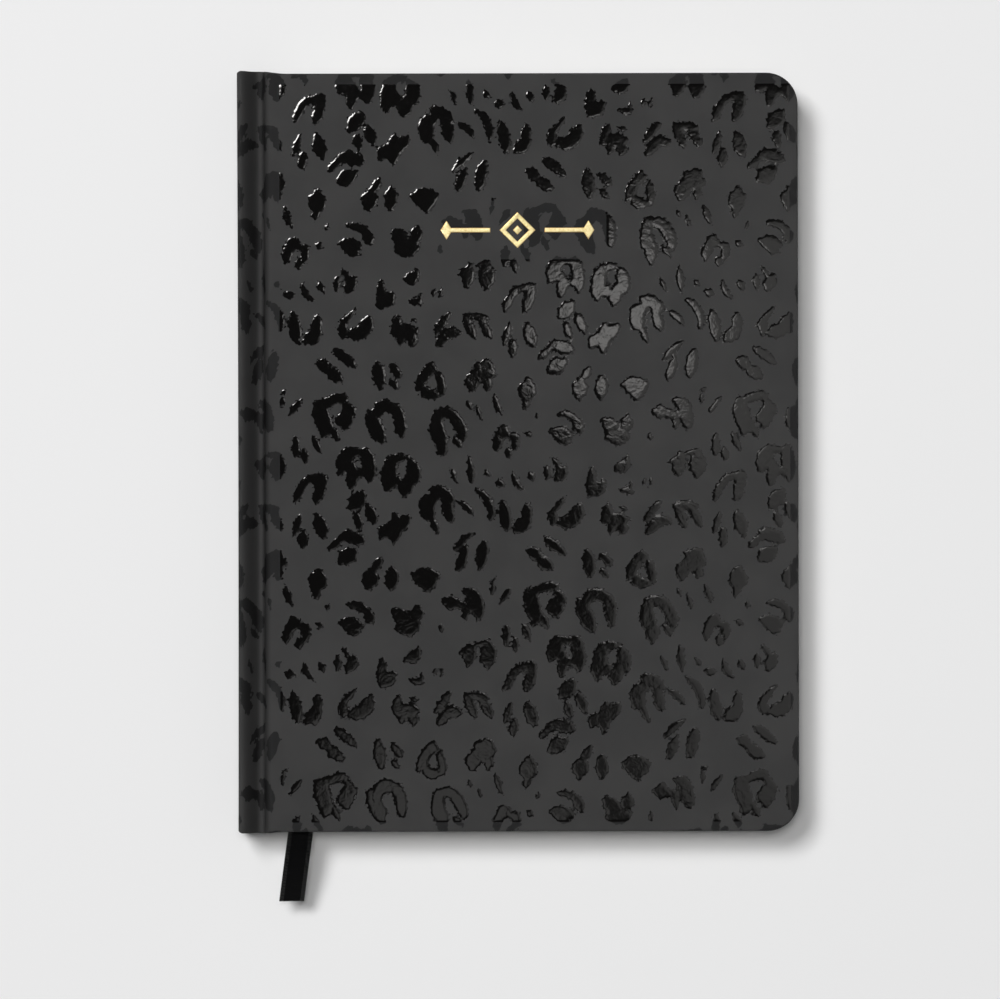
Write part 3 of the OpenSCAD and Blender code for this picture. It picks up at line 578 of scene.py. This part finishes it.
def make_endpapers(side):
    """A pastedown with its strip across the joint, and the flyleaf that it is folded from.
    Heights are the front's; the back's leaves are the same turned over, without the room
    that the ribbon takes on the front."""
    back = side == "back"
    cover_z = BOOK_T - COVER_T + ENDPAPER_T / 2
    strip_z = BOOK_T - COVER_T - ENDPAPER_T * 0.45 if back else cover_z - RIBBON_ROOM
    fly_z = strip_z - ENDPAPER_T * 1.04
    fold_x, lift_x, lift_w = PAGE_X + 0.05, GROOVE_END - 0.6, 1.3
    strip = [(u, strip_z) for u in np.linspace(fold_x, lift_x, 16)]
    lift = [
        (lift_x + lift_w * t, strip_z + (cover_z - strip_z) * smooth_step(t))
        for t in np.linspace(0, 1, 8)[1:]
    ]
    flat = [(u, cover_z) for u in leaf_columns(9.2)]
    pastedown = make_leaf(f"{side}_pastedown_sheet", strip + lift + flat, back)
    fold = [(fold_x, strip_z - 0.03), (PAGE_X, (strip_z + fly_z) / 2), (fold_x, fly_z)]
    flat = [(u, fly_z) for u in leaf_columns(3.4)]
    return pastedown, make_leaf(f"{side}_flyleaf_sheet", fold + flat, back)


def block_outline():
    """Outline of the leaves from the spine round the fore-edge and back: x, y, and the way
    out. The head's run is the tail's turned over."""
    middle_x, half_h, r = PAGE_FORE - PAGE_CORNER_R, PAGE_H / 2, PAGE_CORNER_R
    a = np.linspace(0, math.pi / 2, 13)
    runs = [
        (np.linspace(PAGE_X, middle_x, 60)[:-1], -half_h, 0, -1),
        (middle_x + r * np.sin(a), r - half_h - r * np.cos(a), np.sin(a), -np.cos(a)),
        (PAGE_FORE, np.linspace(r - half_h, half_h - r, 70)[1:-1], 1, 0),
    ]
    tail, corner, fore = [np.stack(np.broadcast_arrays(*run), axis=1) for run in runs]
    tail = np.concatenate([tail, corner])
    return np.concatenate([tail, fore, tail[::-1] * [1, -1, 1, -1]]).T


def make_leaf_block(leaves=52, per_section=4):
    """The block of leaves. Each small group of leaves is two rows of the outline, pushed out
    or in by a few hundredths of a millimetre, a little more where one folded section meets
    the next."""
    x, y, out_x, out_y = block_outline()
    shift = np.random.default_rng(7).normal(0, 0.022, leaves)
    section = np.arange(leaves) % per_section
    shift -= np.where((section == 0) | (section == per_section - 1), 0.05, 0.0)
    shift = np.repeat(np.clip(shift - shift.max(), -0.16, 0), 2)[:, None]
    z = np.linspace(COVER_T + ENDPAPER_T, BLOCK_TOP - ENDPAPER_T, leaves + 1)
    z = np.stack([z[:-1], z[1:] - 0.02], axis=1).ravel()[:, None]
    shift = shift + 0.03 * np.sin(x / 17 + z * 2.1) * np.cos(y / 23 - z) - 0.03
    points = grid_points(x + out_x * shift + SPINE_X, y + out_y * shift, z)
    ids = number_grid(shift.shape)
    quads = grid_faces(ids, wrap=True)
    middle_x = (PAGE_X + PAGE_FORE) / 2 + SPINE_X
    middles = [(middle_x, 0, z[0, 0]), (middle_x, 0, z[-1, 0])]
    caps = [
        np.stack([row, np.roll(row, -1), np.full(len(row), ids.size + k)], axis=1)
        for k, row in enumerate((ids[0][::-1], ids[-1]))
    ]
    faces = np.concatenate([quads[:, [0, 1, 2]], quads[:, [0, 2, 3]], *caps])
    return build_mesh("leaf_block", np.concatenate([points, middles]), faces, smooth=False)


def make_band(name, side, stitches=34):
    """A head band: a bead wound with thread, and the tape that holds it to the leaves' back.
    The bead is a tube whose radius swells and falls with every turn of the thread and shrinks
    to a point at its ends; the tape is a thin closed strip."""
    (x, y_low, bottom), (_, y_high, top) = (np.array(corner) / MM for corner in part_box(name))
    bottom, top = bottom + 0.05, top - 0.05
    y_tape, y_bead = (y_low, y_high - BEAD_R) if side > 0 else (y_high, y_low + BEAD_R)
    around = np.linspace(0, 2 * math.pi, 25)[:-1]
    z = np.linspace(bottom, top, 12 * stitches + 1)[:, None]
    height = (z - z[0]) / (z[-1] - z[0])
    close = np.sqrt(np.clip(1 - (2 * height - 1) ** 24, 0, 1))
    wound = height * stitches
    r = (BEAD_R - THREAD_T + THREAD_T * np.abs(np.cos(wound * math.pi + around / 2))) * close
    bead = grid_points(x + BEAD_R + r * np.cos(around), y_bead + r * np.sin(around), z)
    faces = grid_faces(number_grid(r.shape), wrap=True)
    section = [(0.02, y_tape), (0.24, y_tape), (0.24, y_bead), (0.02, y_bead)]
    tape = [(x + dx, y, level) for level in (bottom, top) for dx, y in section]
    walls = [(0, 1, 5, 4), (1, 2, 6, 5), (2, 3, 7, 6), (3, 0, 4, 7), (3, 2, 1, 0), (4, 5, 6, 7)]
    walls = np.array(walls)[:, ::side] + r.size
    points = np.concatenate([bead, tape])
    piece = build_mesh(f"{name}_thread", points, np.concatenate([faces, walls]))
    wound = np.broadcast_to(wound / 2, r.shape).ravel()
    add_value(piece, "thread", np.concatenate([wound, np.full(len(tape), 0.25)]))
    return piece


# The ribbon


def ribbon_route():
    """Middle line of the ribbon and the way its upper face looks, from the glued end on the head
    of the leaves, over their edge, down the flyleaf in a long bow, and out at the tail. The
    climb leaves its low end towards the knee and reaches its high end from there."""
    head_x = JOINT_W + 0.4 + RIBBON_W / 2
    y_head, block_t = PAGE_H / 2, BLOCK_TOP - COVER_T
    low = np.array([head_x - 9.6, COVER_T + block_t * 0.26])
    knee = np.array([head_x, COVER_T + block_t * 0.7])
    high = np.array([head_x, BLOCK_TOP - RIBBON_T])
    u = np.linspace(0, 1, 16)[:, None]
    climb_x, climb_z = ((1 - u) ** 2 * low + 2 * u * (1 - u) * knee + u * u * high).T
    a = np.linspace(0, math.pi / 2, 7)
    fold = 0.75 * RIBBON_T
    u = np.linspace(0, 1, 71)[1:]
    bow = (1 - u) ** 2 * u * 24 + (1 - u) * u * u * RIBBON_LEAN * PAGE_H
    lie_x = head_x + smooth_step(u) * (RIBBON_EXIT - head_x) + bow
    lie_z = BLOCK_TOP + RIBBON_T / 2
    t = np.linspace(0, 1, 41)[1:]
    y_out = CASE_H / 2 + RIBBON_OUT - y_head
    hang_x, hang_z = RIBBON_EXIT - RIBBON_LEAN * t * y_out, lie_z - RIBBON_DROP * t**1.8
    slope = 1.8 * RIBBON_DROP / y_out * t**0.8
    runs = [
        (climb_x, y_head + RIBBON_T / 2, climb_z, 0, 1, 0),
        (head_x, y_head + fold * np.cos(a), BLOCK_TOP + fold * np.sin(a), 0, np.cos(a), np.sin(a)),
        (lie_x, y_head - u * PAGE_H, lie_z, 0, 0, 1),
        (hang_x, -y_head - t * y_out, hang_z, 0, -slope, 1),
    ]
    route = np.concatenate([np.stack(np.broadcast_arrays(*run), axis=1) for run in runs])
    line, face = route[:, :3] + [SPINE_X, 0, 0], route[:, 3:]
    return line, face / np.linalg.norm(face, axis=1)[:, None]


def make_ribbon():
    """The ribbon marker: a flat closed section, thicker at its two woven edges, carried along
    its route. Across it runs from -1 to 1 and the faces lie half a thickness off the line.
    Over the last 4 mm the section turns a little, so that the end is cut aslant."""
    line, face = ribbon_route()
    along = np.gradient(line, axis=0)
    heading = along / np.linalg.norm(along, axis=1)[:, None]
    across = np.cross(along, face)
    across /= np.linalg.norm(across, axis=1)[:, None]
    c = [np.linspace(-1, -0.86, 4), np.linspace(-0.8, 0.8, 15), np.linspace(0.86, 1, 4)]
    c = np.concatenate(c)
    thick = RIBBON_T / 2 * np.where(np.abs(c) > 0.84, 1.0, 0.72)
    thick *= np.sqrt(np.clip(1.02 - np.abs(c) ** 60, 0, 1))
    ring = np.concatenate([c, c[::-1]])[:, None]
    lift = np.concatenate([thick, -thick[::-1]])[:, None]
    length = np.concatenate([[0], np.cumsum(np.linalg.norm(np.diff(line, axis=0), axis=1))])
    aslant = RIBBON_SLANT * smooth_step((length - length[-1] + 4) / 4)[:, None]
    points = line[:, None] + across[:, None] * (ring * RIBBON_W / 2) + face[:, None] * lift
    points += (heading * aslant)[:, None] * ring
    ids = number_grid(points.shape)
    half = len(c)
    caps = [
        np.stack([row[: half - 1], row[1:half], row[::-1][1:half], row[::-1][: half - 1]], axis=1)
        for row in (ids[0], ids[-1][::-1])
    ]
    faces = np.concatenate([grid_faces(ids, wrap=True), *caps])
    piece = build_mesh("ribbon", points.reshape(-1, 3), faces)
    add_uv(piece, grid_points(ring.T * RIBBON_W / 2, length[:, None]))
    return piece


# Materials


class Shader:
    """A material's nodes, with short ways to add and join them."""

    def __init__(self, name, base, roughness, **sockets):
        self.material = bpy.data.materials.new(name)
        self.material.use_nodes = True
        self.nodes, self.links = self.material.node_tree.nodes, self.material.node_tree.links
        self.surface = self.nodes["Principled BSDF"]
        self.surface.inputs["Base Color"].default_value = (*base, 1)
        self.surface.inputs["Roughness"].default_value = roughness
        for socket, value in sockets.items():
            self.surface.inputs[socket.replace("_", " ")].default_value = value

    def join(self, socket, name):
        """Joins a socket to the named input of the surface."""
        self.links.new(socket, self.surface.inputs[name])

    def add(self, kind, inputs, **settings):
        """Adds a node. Inputs that are sockets are joined to it, and numbers are set on it.
        Gives its first output."""
        node = self.nodes.new(kind)
        for key, value in settings.items():
            setattr(node, key, value)
        for key, value in inputs.items():
            if isinstance(value, bpy.types.NodeSocket):
                self.links.new(value, node.inputs[key])
            else:
                node.inputs[key].default_value = value
        return node.outputs[0]

    def place(self):
        """Object coordinates."""
        return self.add("ShaderNodeTexCoord", {}).node.outputs["Object"]

    def mapped(self, vector, **settings):
        """A vector after a Mapping node."""
        return self.add("ShaderNodeMapping", {"Vector": vector, **settings})

    def noise(self, vector, scale, detail=2.0, rough=0.5):
        inputs = {"Vector": vector, "Scale": scale, "Detail": detail, "Roughness": rough}
        return self.add("ShaderNodeTexNoise", inputs)

    def wave(self, vector, scale, distortion, detail=1.0, way="Y"):
        inputs = {"Vector": vector, "Scale": scale, "Distortion": distortion, "Detail": detail}
        return self.add("ShaderNodeTexWave", inputs, bands_direction=way).node.outputs["Fac"]

    def value(self, name):
        """The number that a piece keeps for each of its points."""
        return self.add("ShaderNodeAttribute", {}, attribute_name=name).node.outputs["Fac"]

    def spread(self, value, low, high, to_low=0.0, to_high=1.0):
        """Takes low to high smoothly to to_low to to_high."""
        inputs = {"Value": value, "From Min": low, "From Max": high}
        inputs.update({"To Min": to_low, "To Max": to_high})
        return self.add("ShaderNodeMapRange", inputs, interpolation_type="SMOOTHSTEP")

    def calc(self, operation, a, b=0.0):
        return self.add("ShaderNodeMath", {0: a, 1: b}, operation=operation)

    def plus(self, a, b):
        return self.calc("ADD", a, b)

    def times(self, a, b):
        return self.calc("MULTIPLY", a, b)

    def mix(self, share, a, b):
        """Colour a where share is 0 and b where it is 1."""
        a, b = ((*c, 1) if isinstance(c, tuple) else c for c in (a, b))
        node = self.add("ShaderNodeMix", {"Factor": share, 6: a, 7: b}, data_type="RGBA").node
        return node.outputs[2]

    def colour(self, socket):
        self.join(socket, "Base Color")

    def roughness(self, socket):
        self.join(socket, "Roughness")

    def bump(self, height, distance):
        """Raises the surface further, by height times distance in millimetres."""
        inputs = {"Height": height, "Distance": distance * MM}
        before = self.surface.inputs["Normal"]
        if before.is_linked:
            inputs["Normal"] = before.links[0].from_socket
        self.join(self.add("ShaderNodeBump", inputs), "Normal")

    def on(self, *pieces):
        for piece in pieces:
            piece.data.materials.clear()
            piece.data.materials.append(self.material)


def soft_touch_paper():
    """Charcoal paper under a velvet lamination, with a matt blackish spot print. The grain is a
    fine felt-like noise. Rubbed edges are a shade lighter. The joint's groove is drawn darker,
    ground and print alike, as painted shade."""
    m = Shader("soft_touch_paper", (0.037, 0.037, 0.037), 0.62, Specular_IOR_Level=0.1)
    here = m.place()
    mottle = m.noise(here, 60, 3)
    ground = m.spread(mottle, 0.35, 0.65)
    ground = m.mix(ground, (0.0385, 0.0383, 0.0383), (0.0445, 0.0440, 0.0438))
    rubbed = m.times(m.value("on_edge"), m.spread(m.noise(here, 900, 3), 0.42, 0.62))
    ground = m.mix(m.times(rubbed, 0.35), ground, (0.055, 0.054, 0.053))
    # Painted shade: the joint's groove is drawn darker, both the ground and the print's black
    painted_joint_shade = m.value("painted_joint_shade")
    ground = m.mix(m.times(painted_joint_shade, 0.66), ground, (0.004, 0.004, 0.004))
    print_black = m.mix(painted_joint_shade, (0.0155, 0.0155, 0.0158), (0.002, 0.002, 0.002))
    blur = m.times(m.plus(m.noise(here, 2600, 2), -0.5), 0.25)
    ink = m.spread(m.plus(m.value("spot_depth"), blur), -0.02, 0.16)
    m.colour(m.mix(ink, ground, print_black))
    m.roughness(m.plus(m.spread(ink, 0, 1, 0.0, -0.06), m.spread(mottle, 0.3, 0.7, 0.6, 0.66)))
    m.bump(m.noise(here, 5200, 2), 0.006)
    m.bump(m.noise(here, 700, 2), 0.006)
    return m


def gloss_varnish():
    """Thick gloss varnish over black ink. It levels unevenly: long ripples, whose places a
    second noise shifts, then a slight peel, then dust-fine grain."""
    m = Shader("gloss_varnish", (0.0034, 0.0032, 0.0031), 0.06, IOR=1.54)
    here = m.place()
    shift = m.noise(here, 260, 1).node.outputs["Color"]
    shift = m.add("ShaderNodeVectorMath", {0: shift, "Scale": 0.004}, operation="SCALE")
    warped = m.add("ShaderNodeVectorMath", {0: here, 1: shift}, operation="ADD")
    m.bump(m.spread(m.value("inset"), -0.35, 0.45), 0.006)
    m.bump(m.noise(warped, 420, 1.5), 0.022)
    m.bump(m.noise(warped, 950, 1), 0.009)
    m.bump(m.noise(here, 1900, 2), 0.003)
    return m


def gold_foil():
    """Metallised gold foil: satin, with the paper's grain printing through."""
    m = Shader("gold_foil", (0.95, 0.8, 0.42), 0.4, Metallic=0.8)
    here = m.place()
    rim = m.spread(m.value("inset"), 0.0, 0.28)
    tone = m.spread(m.noise(here, 1800, 3), 0.3, 0.7)
    tone = m.mix(tone, (0.88, 0.72, 0.33), (1.0, 0.88, 0.52))
    m.colour(m.mix(rim, (0.66, 0.42, 0.13), tone))
    m.roughness(m.spread(m.noise(here, 2600, 2), 0.3, 0.7, 0.34, 0.5))
    m.bump(m.noise(here, 5200, 2), 0.004)
    return m


def uncoated_paper(name, colour, fibre=0.05):
    """Uncoated paper: cloudy when looked at closely, with a short fibre grain."""
    m = Shader(name, colour, 0.85, Specular_IOR_Level=0.25)
    here = m.place()
    darker = tuple(c * (1 - fibre) for c in colour)
    cloud = m.times(m.noise(here, 90, 4), m.noise(m.mapped(here, Scale=(1, 2.4, 1)), 1400, 3))
    m.colour(m.mix(m.spread(cloud, 0.15, 0.4), darker, colour))
    m.bump(m.noise(here, 2600, 3), 0.012)
    return m


def cut_leaves():
    """The trimmed edges of the leaves: fine and coarse streaks along the paper."""
    m = Shader("cut_leaves", (0.86, 0.83, 0.76), 0.8, Specular_IOR_Level=0.2)
    here = m.place()
    fine = m.noise(m.mapped(here, Scale=(14, 14, 9000)), 1.0, 3, 0.6)
    coarse = m.noise(m.mapped(here, Scale=(6, 6, 1300)), 1.0, 2)
    streak = m.spread(m.plus(m.times(fine, 0.65), m.times(coarse, 0.35)), 0.36, 0.62)
    m.colour(m.mix(streak, (0.60, 0.565, 0.49), (0.90, 0.87, 0.80)))
    m.bump(fine, 0.05)
    return m


def satin_ribbon():
    """Black satin: fine cross ribs from the weft, long floats that shine along the ribbon, and
    glossier woven edges with their small loops."""
    m = Shader("satin_ribbon", (0.002, 0.002, 0.002), 0.4, Specular_IOR_Level=0.06)
    uv = m.add("ShaderNodeUVMap", {}, uv_map="UVMap")
    floats = m.noise(m.mapped(uv, Scale=(9, 0.5, 1)), 1.0, 3)
    off_middle = m.calc("ABSOLUTE", m.add("ShaderNodeSeparateXYZ", {0: uv}))
    edge = m.spread(off_middle, 2.2, 2.5)
    loops = m.wave(m.mapped(uv, Rotation=(0, 0, 0.25)), 0.36, 0.8)
    satin = m.mix(floats, (0.0012, 0.0012, 0.0013), (0.0022, 0.0022, 0.0024))
    m.colour(m.mix(edge, satin, (0.002, 0.002, 0.002)))
    m.roughness(m.plus(m.spread(floats, 0.3, 0.7, 0.34, 0.42), m.times(edge, -0.25)))
    m.join(m.spread(edge, 0, 1, 0.06, 0.25), "Specular IOR Level")
    m.bump(m.wave(uv, 0.62, 0.6), 0.02)
    m.bump(floats, 0.012)
    m.bump(m.spread(off_middle, 3.6, 2.2), 0.05)
    m.bump(m.times(loops, edge), 0.05)
    return m


def greyboard():
    """Grey pulp board with flecks of darker and lighter fibre."""
    m = Shader("greyboard", (0.3, 0.28, 0.26), 0.9, Specular_IOR_Level=0.2)
    here = m.place()
    fleck = m.spread(m.noise(here, 1500, 4), 0.4, 0.65)
    m.colour(m.mix(fleck, (0.22, 0.205, 0.19), (0.40, 0.38, 0.35)))
    m.bump(m.noise(here, 1100, 3), 0.05)
    return m


def open_cloth(name, dark, light, scale):
    """Plain woven cloth: two sets of bands at right angles, one over the other in turn."""
    m = Shader(name, light, 0.9, Specular_IOR_Level=0.2)
    here = m.place()
    weave = m.calc("MAXIMUM", *(m.wave(here, scale, 0.4, 2.0, way) for way in ("Y", "Z")))
    m.colour(m.mix(weave, dark, light))
    m.bump(weave, 0.06)
    return m


def wound_thread():
    """Thread wound round a head band: every second turn a shade lighter."""
    m = Shader("wound_thread", (0.012, 0.012, 0.012), 0.55, Sheen_Weight=0.3)
    turn = m.spread(m.calc("FRACT", m.value("thread")), 0.46, 0.54)
    m.colour(m.mix(turn, (0.008, 0.008, 0.008), (0.03, 0.03, 0.031)))
    m.bump(m.noise(m.place(), 4000, 2), 0.02)
    return m


# The book

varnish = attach(make_varnish(), "front_cover")
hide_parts("gloss_spots")

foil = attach(make_foil(), "front_cover")
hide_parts("foil_device")

front_paper = make_covering("covering_paper_front")
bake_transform(front_paper)
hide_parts("front_wrap", "spine_wrap")
back_paper = make_covering("covering_paper_back", back=True)
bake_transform(back_paper)
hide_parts("back_wrap")

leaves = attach(make_leaf_block(), "book_block")
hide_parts("pages")

endpapers = []
for side in ("front", "back"):
    pastedown, flyleaf = make_endpapers(side)
    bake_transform(pastedown)
    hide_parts(f"{side}_pastedown")
    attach(flyleaf, "book_block")
    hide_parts(f"{side}_flyleaf")
    endpapers += [pastedown, flyleaf]

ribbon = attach(make_ribbon(), "book_block")
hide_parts("ribbon_marker")

bands = []
for name, side in (("head_band", 1), ("tail_band", -1)):
    bands.append(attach(make_band(name, side), "book_block"))
    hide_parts(name)

nodes = frame["nodes"]
soft_touch_paper().on(front_paper, back_paper)
gloss_varnish().on(varnish)
gold_foil().on(foil)
cut_leaves().on(leaves)
uncoated_paper("ivory_endpaper", (0.86, 0.835, 0.77)).on(*endpapers)
satin_ribbon().on(ribbon)
wound_thread().on(*bands)
greyboard().on(nodes["front_board"], nodes["back_board"], nodes["spine_board"])
open_cloth("mull", (0.45, 0.42, 0.34), (0.82, 0.79, 0.70), 1000 / 18).on(nodes["mull"])
uncoated_paper("brown_lining", (0.42, 0.29, 0.17), 0.25).on(nodes["spine_liner"])

# The floor, light and camera

# The camera's place and turn in degrees, then the picture's pixels to a millimetre of the
# front cover, the picture's width in pixels, and the sensor's width
VIEW_X, VIEW_Y, CAMERA_Z, CAMERA_TURN = -5.12, -13.36, 1800.0, -0.13
PIXELS_PER_MM, PICTURE_W, SENSOR_W = 3.528, 1000, 36

# Strength of the sky as light, as the mirrored ground, and of the dark ceiling
SKY_LIGHT, SKY_SEEN, CEILING_LIGHT, CEILING_Z = 0.13, 0.8, 0.012, 1250.0

# Where each reflector shows in the varnish: middle and half widths on the cover in
# millimetres, softness of its rim, and brightness
REFLECTORS = [
    (28, 36, 24, 23, 0.65, 3.2),
    (67, 30, 46, 58, 0.4, 0.76),
    (150, 15, 75, 110, 0.4, 0.74),
    (80, -62, 48, 62, 0.4, 0.56),
    (160, -95, 75, 90, 0.4, 0.58),
    (-20, -112, 36, 46, 0.42, 0.68),
    (-168, 186, 71, 71, 0.3, 30.0),
]

scene = bpy.context.scene
scene.view_settings.view_transform = "Standard"


def plane(name, w, z):
    """A level square that is no part of the book, reaching w to each side."""
    points = [(-w, -w, z), (w, -w, z), (w, w, z), (-w, w, z)]
    piece = build_mesh(name, points, [(0, 1, 2, 3)], smooth=False)
    return piece


def sky():
    """Even pale light from all round. What the camera and mirrors see of it is the pale ground."""
    scene.world = bpy.data.worlds.new("sky")
    scene.world.use_nodes = True
    nodes, links = scene.world.node_tree.nodes, scene.world.node_tree.links
    background = nodes["Background"]
    background.inputs["Color"].default_value = (1, 1, 1, 1)
    rays = nodes.new("ShaderNodeLightPath")
    seen = nodes.new("ShaderNodeMath")
    seen.operation = "MAXIMUM"
    links.new(rays.outputs["Is Camera Ray"], seen.inputs[0])
    links.new(rays.outputs["Is Glossy Ray"], seen.inputs[1])
    strength = nodes.new("ShaderNodeMapRange")
    strength.inputs["To Min"].default_value = SKY_LIGHT
    strength.inputs["To Max"].default_value = SKY_SEEN
    links.new(seen.outputs[0], strength.inputs["Value"])
    links.new(strength.outputs["Result"], background.inputs["Strength"])


def softbox(name, place, size, radiance):
    """A square lamp of that side, turned to the middle of the book, whose face shines with the
    given radiance; its power is radiance times pi times its area. Nothing mirrors it."""
    data = bpy.data.lights.new(name, "AREA")
    data.shape, data.size = "SQUARE", size * MM
    data.energy = radiance * math.pi * (size * MM) ** 2
    lamp = bpy.data.objects.new(name, data)
    scene.collection.objects.link(lamp)
    lamp.location = Vector(place) * MM
    lamp.rotation_euler = Vector(place).to_track_quat("Z", "Y").to_euler()
    lamp.visible_glossy = False


def overhead_card():
    """The dark ceiling over the table, with the pale reflectors that the varnish mirrors. A
    place on the cover, seen from the camera, mirrors the place on the card that lies further
    out from the camera's axis by the ratio of the heights."""
    card = plane("overhead_card", 900, CEILING_Z)
    card.visible_camera = card.visible_diffuse = False
    card.visible_shadow = card.visible_transmission = False
    m = Shader("overhead_card", (0, 0, 0), 1.0)
    here = m.place()
    reach = (CEILING_Z - BOOK_T) / (CAMERA_Z - BOOK_T)
    total = 0.0
    for x, y, wide, high, soft, glow in REFLECTORS:
        wide, high = wide * (1 + reach) * MM, high * (1 + reach) * MM
        cx, cy = (x + (x - VIEW_X) * reach) * MM, (y + (y - VIEW_Y) * reach) * MM
        location, scale = (-cx / wide, -cy / high, 0), (1 / wide, 1 / high, 0)
        centred = m.mapped(here, Location=location, Scale=scale)
        far = m.add("ShaderNodeVectorMath", {0: centred}, operation="LENGTH").node.outputs["Value"]
        total = m.calc("MAXIMUM", total, m.spread(far, 1 + soft, 1 - soft, 0.0, glow))
    strength = m.plus(total, CEILING_LIGHT)
    warm = m.add("ShaderNodeEmission", {"Color": (1, 0.985, 0.965, 1), "Strength": strength})
    m.links.new(warm, m.nodes["Material Output"].inputs["Surface"])
    m.on(card)


def look_down():
    """The camera, straight above the book, as far as in the picture."""
    data = bpy.data.cameras.new("camera")
    data.sensor_width, data.clip_end = SENSOR_W, 30
    data.lens = SENSOR_W * (CAMERA_Z - BOOK_T) * PIXELS_PER_MM / PICTURE_W
    scene.camera = bpy.data.objects.new("camera", data)
    scene.collection.objects.link(scene.camera)
    scene.camera.location = (VIEW_X * MM, VIEW_Y * MM, CAMERA_Z * MM)
    scene.camera.rotation_euler = (0, 0, math.radians(CAMERA_TURN))


floor = plane("floor", 8000, -0.05)
Shader("pale_floor", (0.85, 0.85, 0.852), 0.9, Specular_IOR_Level=0.0).on(floor)
sky()
softbox("key_softbox", (-1408, 1447, 4022), 1380, 22.2)
softbox("overhead_softbox", (-60, 220, 2600), 500, 22.9)
overhead_card()
look_down()
